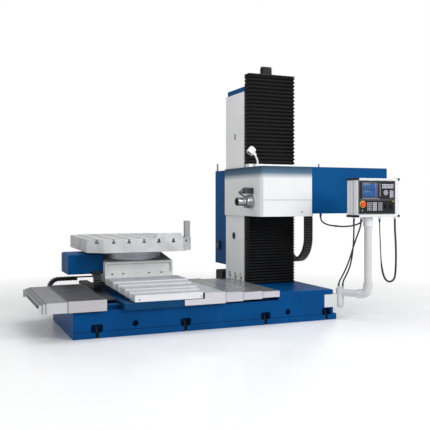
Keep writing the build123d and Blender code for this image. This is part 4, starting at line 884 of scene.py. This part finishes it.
# The deck's darker tone is partly its own and partly painted shadow from the table above.
deck_tone_and_shade = blend_colours(base_white, clouds(base_white, 16), tone(150, 153, 157), tone(178, 181, 185))
shaded_deck_share = by_height(base_white, DECK_HEIGHT, DECK_HEIGHT + 0.001)
feed(base_white, blend_colours(base_white, shaded_deck_share, casting_tint, deck_tone_and_shade), "Base Color")
dress(base_white, "table_base")
ring_steel = new_finish("ring_steel", tone(214, 217, 225), 0.36, 0.25)
patchy_gloss(ring_steel, 12, 0.28, 0.46, (1, 1, 30))
relief(ring_steel, clouds(ring_steel, 30, (1, 1, 40)), 0.00008, 0.001)
dress(ring_steel, "table_ring")
table_iron = grained("table_iron", tone(190, 190, 192), 0.4, 0.35, (30, 0.32, 0.52), (180, 0.0001, 0.002))
sheen(table_iron, 0.3)
passes = spread(table_iron, clouds(table_iron, 7), 0, 1)
planed = blend_colours(table_iron, passes, tone(192, 193, 195), tone(222, 223, 224))
# Painted shade: faces that turn downwards take a dark grey, for the shade under the table.
shaded_underside = by_slope(table_iron, -0.15, -0.5)
feed(table_iron, blend_colours(table_iron, shaded_underside, planed, tone(84, 85, 87)), "Base Color")
dress(table_iron, "rotary_table", "edge_stop")
post_steel = grained("bright_steel", tone(168, 170, 174), 0.34, 0.7, (90, 0.26, 0.46), (500, 0.0001, 0.0005))
dress(post_steel, "corner_post")
dress(sheet_blue, "drive_cover")

WINDOW_NUT_OUTLINE = [(0.0095, 0), (0.0095, 0.003), (0.0075, 0.004), (0.0070, 0.010), (0.0040, 0.0125)]
WINDOW_SILL = 0.4685
WINDOW_NUT_Y = 0.3150
window_nut_places = [(x, WINDOW_NUT_Y, WINDOW_SILL) for x in (-0.788, -0.670, -0.388, -0.252)]
window_nuts = set_out(turned("window_nut", WINDOW_NUT_OUTLINE, 18), "base_window_nuts", window_nut_places)
fitted(window_nuts, black_oxide, "table_slide")

SIDE_INSET = 0.022
EDGE_INSET = 0.018
drive_low, drive_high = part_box("drive_cover")
drive_screw_places = [
    (x, drive_low.y, z)
    for x in (drive_low.x + SIDE_INSET, drive_low.x + 0.130, drive_low.x + 0.235, drive_high.x - SIDE_INSET)
    for z in (drive_low.z + EDGE_INSET, drive_high.z - EDGE_INSET)
]
screws("drive_cover_screws", drive_screw_places, FORWARD, "table_slide")


# Energy chains carry the cables of the head, the table and the saddle. They are moulded black
# links, each with a crossbar clipped over it and a steel pin at its sides.
LINK_PITCH = 0.029
BAR_PROUD = 0.0025
SHORT_RUN = 0.020
RUN_CLEARANCE = 0.010


def link_stations(low_run, high_run, radius):
    """Places along a chain's outer face, from its bend's centre, each with the way that it faces."""
    stations = []
    for side, run in ((-1, low_run), (1, high_run)):
        for index in range(int((run - RUN_CLEARANCE) / LINK_PITCH)):
            stations.append(((0.5 + index) * LINK_PITCH, side * radius, 0, side))
    steps = round(math.pi * radius / LINK_PITCH)
    for index in range(steps):
        turn = math.pi * (index + 0.5) / steps + math.pi / 2
        stations.append((radius * math.cos(turn), radius * math.sin(turn), math.cos(turn), math.sin(turn)))
    return stations


bar_grey = grained("bar_grey", tone(74, 76, 80), 0.4, 0, (120, 0.34, 0.5), (600, 0.0001, 0.001))


def crossbar(width, quarter_turns):
    """A clipped bar with a pin head at both ends, flat on the chain's outer face."""
    half = width / 2 - 0.001
    bar = block("bar", (-half, -0.0035, -0.001), (half, 0.0035, BAR_PROUD), 0.001)
    heads = [
        block("pin_head", (end - 0.004, -0.006, -0.001), (end + 0.004, 0.006, BAR_PROUD + 0.001), 0.0012)
        for end in (-half, half)
    ]
    piece = joined("crossbar", [bar, *heads])
    piece.data.transform(Matrix.Rotation(quarter_turns * math.pi / 2, 4, "Z"))
    return piece


# Each chain's runs lie along one axis, 0 for X, 1 for Y and 2 for Z, and are apart across another. Its
# bars lie along the third. The last value is where the upper run's bars end.
CHAINS = (
    ("head_chain", ("frame", "head"), (1.39, 0.584, 0.8), (1.39, 0.040, 0.8), 2, 1, 0, 1.090),
    ("table_chain", ("saddle", "table_slide"), (-0.94, 0.7, 0.342), (-0.94, 0.7, 0.471), 1, 2, 0, 0.700),
    ("bed_chain", ("frame", "saddle"), (-1, 0.65, 0.237), (-1, 0.65, 0.394), 0, 2, 1, -1.100),
)
for node, bodies, start, end, run, gap, width, run_end in CHAINS:
    links = coated(moving_copy(f"{node}_links", node), plastic_black)
    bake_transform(links)
    low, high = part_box(node)
    radius = (high[gap] - low[gap]) / 2
    centre = (low + high) / 2
    centre[run] = low[run] + radius
    other_run = high[run] - centre[run] if node == "head_chain" else SHORT_RUN
    moving_side = -1 if node == "head_chain" else 1
    bar = crossbar(high[width] - low[width], width)
    bars = []
    for along, across, out_along, out_across in link_stations(other_run, run_end - centre[run], radius):
        place, facing = centre.copy(), Vector((0, 0, 0))
        place[run] += along
        place[gap] += moving_side * across
        facing[run], facing[gap] = out_along, moving_side * out_across
        bars.append(copied(bar, place, facing))
    bpy.data.objects.remove(bar)
    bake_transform(coated(joined(f"{node}_bars", bars), bar_grey))


# The head is a white enamelled housing with a seam across its front, darkened by a thin grey strip
# of painted shadow, a band along its top whose colour goes from near white at its foot to dark blue
# at its top, and the long blue housing of the spindle feed to the right.
head_white = enamel("head_white", tone(232, 233, 233), tone(226, 227, 228), tone(190, 190, 188), 0.32)
dress(head_white, "front_cover", "head_body", "top_plate", "lamp_stand")
BAND_LOW = 1.485
BAND_MIDDLE = 1.545
BAND_HIGH = 1.614
band_blue = enamel("band_blue", tone(138, 156, 176), tone(126, 145, 166), tone(180, 190, 200))
# The band's colour goes from near white at its foot through grey blue to dark blue at its top.
lower_half = by_height(band_blue, BAND_LOW, BAND_MIDDLE)
upper_half = by_height(band_blue, BAND_MIDDLE, BAND_HIGH)
band_lower_tone = blend_colours(band_blue, lower_half, tone(222, 225, 228), tone(88, 114, 136))
feed(band_blue, blend_colours(band_blue, upper_half, band_lower_tone, tone(42, 70, 92)), "Base Color")
dress(band_blue, "head_band")
dress(sheet_blue, "tail")
dress(dark_steel, "nose_bracket")

SEAM_HEIGHT = 1.250
HALF_SEAM = 0.0019
# The seams are real; the thin grey strips in the seam across the front and along the cover's left edge are
# painted shadow.
seam_shadow_grey = grained("seam_shadow_grey", tone(120, 121, 123), 0.6, 0, (90, 0.5, 0.7), (500, 0.0001, 0.0005))
front_low, front_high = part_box("front_cover")
seams = [
    block(
        "cover_seam_shadow",
        (front_low.x + 0.022, front_low.y + 0.0004, SEAM_HEIGHT - HALF_SEAM),
        (front_high.x - 0.004, front_low.y + 0.0026, SEAM_HEIGHT + HALF_SEAM),
        0.0003,
    ),
    block(
        "cover_edge_shadow",
        (front_low.x + 0.0185, front_low.y - 0.0003, front_low.z + 0.010),
        (front_low.x + 0.0210, front_low.y + 0.0010, BAND_LOW - 0.006),
        0.0003,
    ),
]
fitted(joined("front_cover_seam_shadows", seams), seam_shadow_grey, "head")

TAIL_SCREWS = 7
TAIL_SCREW_INSET = 0.040
TAIL_SCREW_PITCH = 0.155
tail_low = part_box("tail")[0]
tail_screw_xs = [tail_low.x + TAIL_SCREW_INSET + TAIL_SCREW_PITCH * index for index in range(TAIL_SCREWS)]
tail_screw_places = [(x, tail_low.y, z) for x in tail_screw_xs for z in (1.122, 1.592)]
screws("tail_screws", tail_screw_places, FORWARD, "head")

OIL_PLUG_PLACE = (1.195, -0.186, 1.119)
OIL_PLUG_OUTLINE = [
    (0.0095, 0), (0.0095, 0.001), (0.0085, 0.002), (0.0050, 0.002), (0.0045, 0.004), (0.0035, 0.005),
]
oil_plug = set_out(turned("plug", OIL_PLUG_OUTLINE), "oil_plug", [OIL_PLUG_PLACE], FORWARD)
fitted(oil_plug, dark_latch, "head")


# The spindle is ground and nitrided steel in a sleeve that screws hold to the head's left side.
# Its nose has a dark rim round the tool's taper and two drive keys.
sleeve_steel = new_finish("sleeve_steel", tone(158, 160, 164), 0.34, 0.8)
patchy_gloss(sleeve_steel, 20, 0.28, 0.44, (30, 1, 1))
relief(sleeve_steel, clouds(sleeve_steel, 40, (20, 1, 1)), 0.00005, 0.001)
dress(sleeve_steel, "spindle_sleeve", "boring_spindle")

SPINDLE_Y = 0.016
SPINDLE_Z = 1.232
SPINDLE_FACE = 0.507
KEY_OFFSET = 0.033
RIM_OUTLINE = [(0.044, 0), (0.044, 0.004), (0.041, 0.007), (0.027, 0.007), (0.024, 0.004), (0.024, 0)]
rim_place = (SPINDLE_FACE + 0.002, SPINDLE_Y, SPINDLE_Z)
end_ring = set_out(turned("rim", RIM_OUTLINE, 32), "end_ring", [rim_place], LEFTWARD)
drive_keys = [
    block(
        "drive_key",
        (SPINDLE_FACE - 0.010, SPINDLE_Y - 0.006, z - 0.007),
        (SPINDLE_FACE + 0.001, SPINDLE_Y + 0.006, z + 0.007),
        0.0015,
    )
    for z in (SPINDLE_Z - KEY_OFFSET, SPINDLE_Z + KEY_OFFSET)
]
fitted(joined("spindle_end_ring", [end_ring, *drive_keys]), black_oxide, "spindle")

SLEEVE_FACE = 0.605
SCREW_CIRCLE = 0.0595
sleeve_screw_places = [
    (SLEEVE_FACE, SPINDLE_Y + SCREW_CIRCLE * math.cos(turn), SPINDLE_Z + SCREW_CIRCLE * math.sin(turn))
    for turn in [math.radians(60 * index + 30) for index in range(6)]
]
screws("sleeve_screws", sleeve_screw_places, LEFTWARD, "head")

PIPE_DIAMETER = 0.012
COOLANT_ROUTE = [
    (0.640, 0.004, 1.382), (0.596, 0.008, 1.384), (0.556, -0.004, 1.366),
    (0.530, -0.022, 1.338), (0.548, -0.046, 1.302), (0.580, -0.062, 1.270),
    (0.600, -0.066, 1.250),
]
coolant_pipe = as_tube(cord_line("coolant_pipe", COOLANT_ROUTE), PIPE_DIAMETER)
fitted(coolant_pipe, dark_latch, "head")


# The work lamp is a white shell on a bent neck over the head's front left corner. Its dark glass
# lens looks down towards the spindle's nose.
dress(head_white, "lamp_head")
LAMP_PIVOT = Vector((0.706, -0.020, 1.745))
LAMP_AIM = Vector((-1, 0, -1.1)).normalized()
LAMP_UP = Vector((LAMP_AIM.z, 0, -LAMP_AIM.x))
LENS_RISE = 0.057
LENS_REACH = 0.0315
LENS_OUTLINE = [(0.0335, 0), (0.0335, 0.002), (0.030, 0.0035), (0.018, 0.0048), (0.006, 0.0054)]
lens_glass = new_finish("lens_glass", tone(60, 66, 76), 0.08)
patchy_gloss(lens_glass, 90, 0.05, 0.12)
lens_place = LAMP_PIVOT + LAMP_UP * LENS_RISE + LAMP_AIM * LENS_REACH
lens = set_out(turned("lens", LENS_OUTLINE, 32), "lamp_lens", [lens_place], LAMP_AIM)
fitted(lens, lens_glass, "lamp")


# The control pendant hangs on a swinging tube arm: a white housing with dark corner caps, and a
# black panel in two framed fields with the screen, keys, knobs and the emergency stop.
arm_white = enamel("arm_white", tone(206, 208, 210), tone(198, 200, 203), tone(178, 178, 178), 0.34)
dress(arm_white, "swing_arm", "arm_bracket")
pendant_white = enamel(
    "pendant_white", tone(222, 224, 227), tone(216, 218, 221), tone(190, 190, 190), 0.34, 0.002
)
dress(pendant_white, "pendant_box")
ELBOW_ROUTE = [
    (1.564, -0.686, 0.275), (1.606, -0.7465, 0.275), (1.630, -0.781, 0.317),
    (1.630, -0.781, 0.387),
]
ELBOW_DIAMETER = 0.094
elbow = as_tube(cord_line("arm_elbow", ELBOW_ROUTE), ELBOW_DIAMETER, 10)
rounding = elbow.modifiers.new("rounding", "BEVEL")
rounding.limit_method = "ANGLE"
rounding.angle_limit = math.radians(50)
rounding.width = 0.003
rounding.segments = 2
bpy.ops.object.modifier_apply(modifier="rounding")
bpy.ops.object.shade_smooth_by_angle(angle=math.radians(40))
fitted(elbow, arm_white, "arm")
dress(plastic_black, "pendant_caps")
panel_black = grained("panel_black", tone(24, 25, 28), 0.45, 0, (60, 0.34, 0.5), (900, 0.0001, 0.001))
sheen(panel_black, 0.25)
dress(panel_black, "pendant_panel")
stop_red = new_finish("stop_red", tone(222, 74, 34), 0.28)
patchy_gloss(stop_red, 150, 0.22, 0.36)
dress(stop_red, "stop_button")

PANEL_FACE = -0.880
PANEL_LEFT = 1.446
PANEL_RIGHT = 1.897
FRAME_MARGIN = 0.004
KEY_PROUD = 0.0026
KEY_SHARE = 0.78


def panel_plate(name, left, right, bottom, top, proud, edge=0.0006):
    """A raised plate or key on the panel."""
    return block(name, (left, PANEL_FACE - proud, bottom), (right, PANEL_FACE + 0.0005, top), edge)


def panel_frame(name, left, right, bottom, top, width, proud):
    """Four raised strips round a field of the panel."""
    return [
        panel_plate(name, left, right, top - width, top, proud),
        panel_plate(name, left, right, bottom, bottom + width, proud),
        panel_plate(name, left, left + width, bottom, top, proud),
        panel_plate(name, right - width, right, bottom, top, proud),
    ]


def key_block(left, right, bottom, top, columns, rows):
    """Keys in columns and rows over a field of the panel."""
    wide = (right - left) / columns
    high = (top - bottom) / rows
    half_wide = KEY_SHARE * wide / 2
    half_high = KEY_SHARE * high / 2
    xs = [left + (column + 0.5) * wide for column in range(columns)]
    zs = [bottom + (row + 0.5) * high for row in range(rows)]
    return [
        panel_plate("key", x - half_wide, x + half_wide, z - half_high, z + half_high, KEY_PROUD, 0.0008)
        for x in xs
        for z in zs
    ]


field_left, field_right = PANEL_LEFT + FRAME_MARGIN, PANEL_RIGHT - FRAME_MARGIN
frames = [
    *panel_frame("upper_frame", field_left, field_right, 1.256, 1.444, 0.004, 0.0022),
    *panel_frame("lower_frame", field_left, field_right, 1.110, 1.249, 0.004, 0.0022),
    *panel_frame("screen_frame", 1.490, 1.678, 1.270, 1.428, 0.006, 0.0030),
]
frame_grey = grained("frame_grey", tone(96, 98, 104), 0.4, 0, (80, 0.34, 0.5), (800, 0.0001, 0.0008))
fitted(joined("panel_frames", frames), frame_grey, "pendant")


def lit(name, colour, strength):
    """Glowing field of the screen, slightly uneven."""
    finish = new_finish(name, colour, 0.25)
    finish.node_tree.nodes["Principled BSDF"].inputs["Emission Strength"].default_value = strength
    sheen(finish, 0.3)
    patches = spread(finish, clouds(finish, 60), 0, 1)
    glow_tone = blend_colours(finish, patches, darkened(colour, 0.7), colour)
    feed(finish, glow_tone, "Base Color")
    feed(finish, glow_tone, "Emission Color")
    return finish


dark_field = lit("screen_ground", tone(34, 44, 86), 0.2)
teal = lit("screen_teal", tone(44, 86, 136), 0.3)
violet = lit("screen_violet", tone(96, 90, 160), 0.35)
for name, left, right, bottom, top, proud, finish in (
    ("panel_screen", 1.498, 1.670, 1.276, 1.422, -0.0002, dark_field),
    ("screen_upper_window", 1.504, 1.640, 1.354, 1.416, 0.0003, teal),
    ("screen_lower_window", 1.504, 1.640, 1.284, 1.346, 0.0003, teal),
    ("screen_side_strip", 1.646, 1.666, 1.282, 1.418, 0.0003, violet),
):
    field = block(name, (left, PANEL_FACE - proud, bottom), (right, PANEL_FACE + 0.002, top), 0.0004)
    fitted(field, finish, "pendant")


def key_finish(name, colour):
    """Moulded key, worn slightly uneven."""
    finish = new_finish(name, colour, 0.4)
    wear = spread(finish, clouds(finish, 120), 0, 1)
    feed(finish, blend_colours(finish, wear, darkened(colour, 0.85), colour), "Base Color")
    patchy_gloss(finish, 300, 0.34, 0.5)
    return finish


key_grey = key_finish("key_grey", tone(150, 152, 160))
key_pale = key_finish("key_pale", tone(196, 194, 208))
key_yellow = key_finish("key_yellow", tone(222, 186, 60))
key_green = key_finish("key_green", tone(60, 150, 90))
grey_keys = [
    *key_block(1.488, 1.702, 1.2575, 1.2685, 10, 1),
    *key_block(1.701, 1.714, 1.284, 1.420, 1, 8),
    *key_block(1.547, 1.607, 1.140, 1.228, 3, 5),
    *key_block(1.683, 1.737, 1.140, 1.228, 3, 5),
]
fitted(joined("grey_keys", grey_keys), key_grey, "pendant")
pale_keys = [
    *key_block(1.731, 1.875, 1.368, 1.415, 8, 3),
    *key_block(1.827, 1.875, 1.273, 1.350, 3, 5),
    *key_block(1.617, 1.667, 1.140, 1.228, 3, 5),
]
fitted(joined("pale_keys", pale_keys), key_pale, "pendant")
yellow_key = joined("yellow_key", key_block(1.862, 1.880, 1.228, 1.244, 1, 1))
fitted(yellow_key, key_yellow, "pendant")

JOG_OUTLINE = [(0.028, 0), (0.028, 0.004), (0.026, 0.006), (0.019, 0.006), (0.018, 0.0045), (0.008, 0.0045)]
READY_OUTLINE = [(0.011, 0), (0.011, 0.003), (0.009, 0.006), (0.004, 0.0068)]
RING_OUTLINE = [(0.036, 0), (0.036, 0.001), (0.035, 0.0018), (0.028, 0.0018)]
for name, outline, sides, x, z, finish, slot in (
    ("jog_disc", JOG_OUTLINE, 40, 1.777, 1.325, key_grey, "grey_cover"),
    ("ready_lamp", READY_OUTLINE, 24, 1.490, 1.144, key_green, "grey_cover"),
    ("stop_surround", RING_OUTLINE, 40, 1.496, 1.206, key_yellow, "lamp_orange"),
):
    knob = set_out(turned("knob", outline, sides), name, [(x, PANEL_FACE, z)], FORWARD)
    fitted(knob, finish, "pendant")
pendant_low, pendant_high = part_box("pendant_box")
groove = block(
    "pendant_joint",
    (pendant_low.x - 0.0006, -0.803, pendant_low.z + 0.012),
    (pendant_low.x + 0.001, -0.797, pendant_high.z - 0.012),
    0.0003,
)
fitted(groove, dark_latch, "pendant")
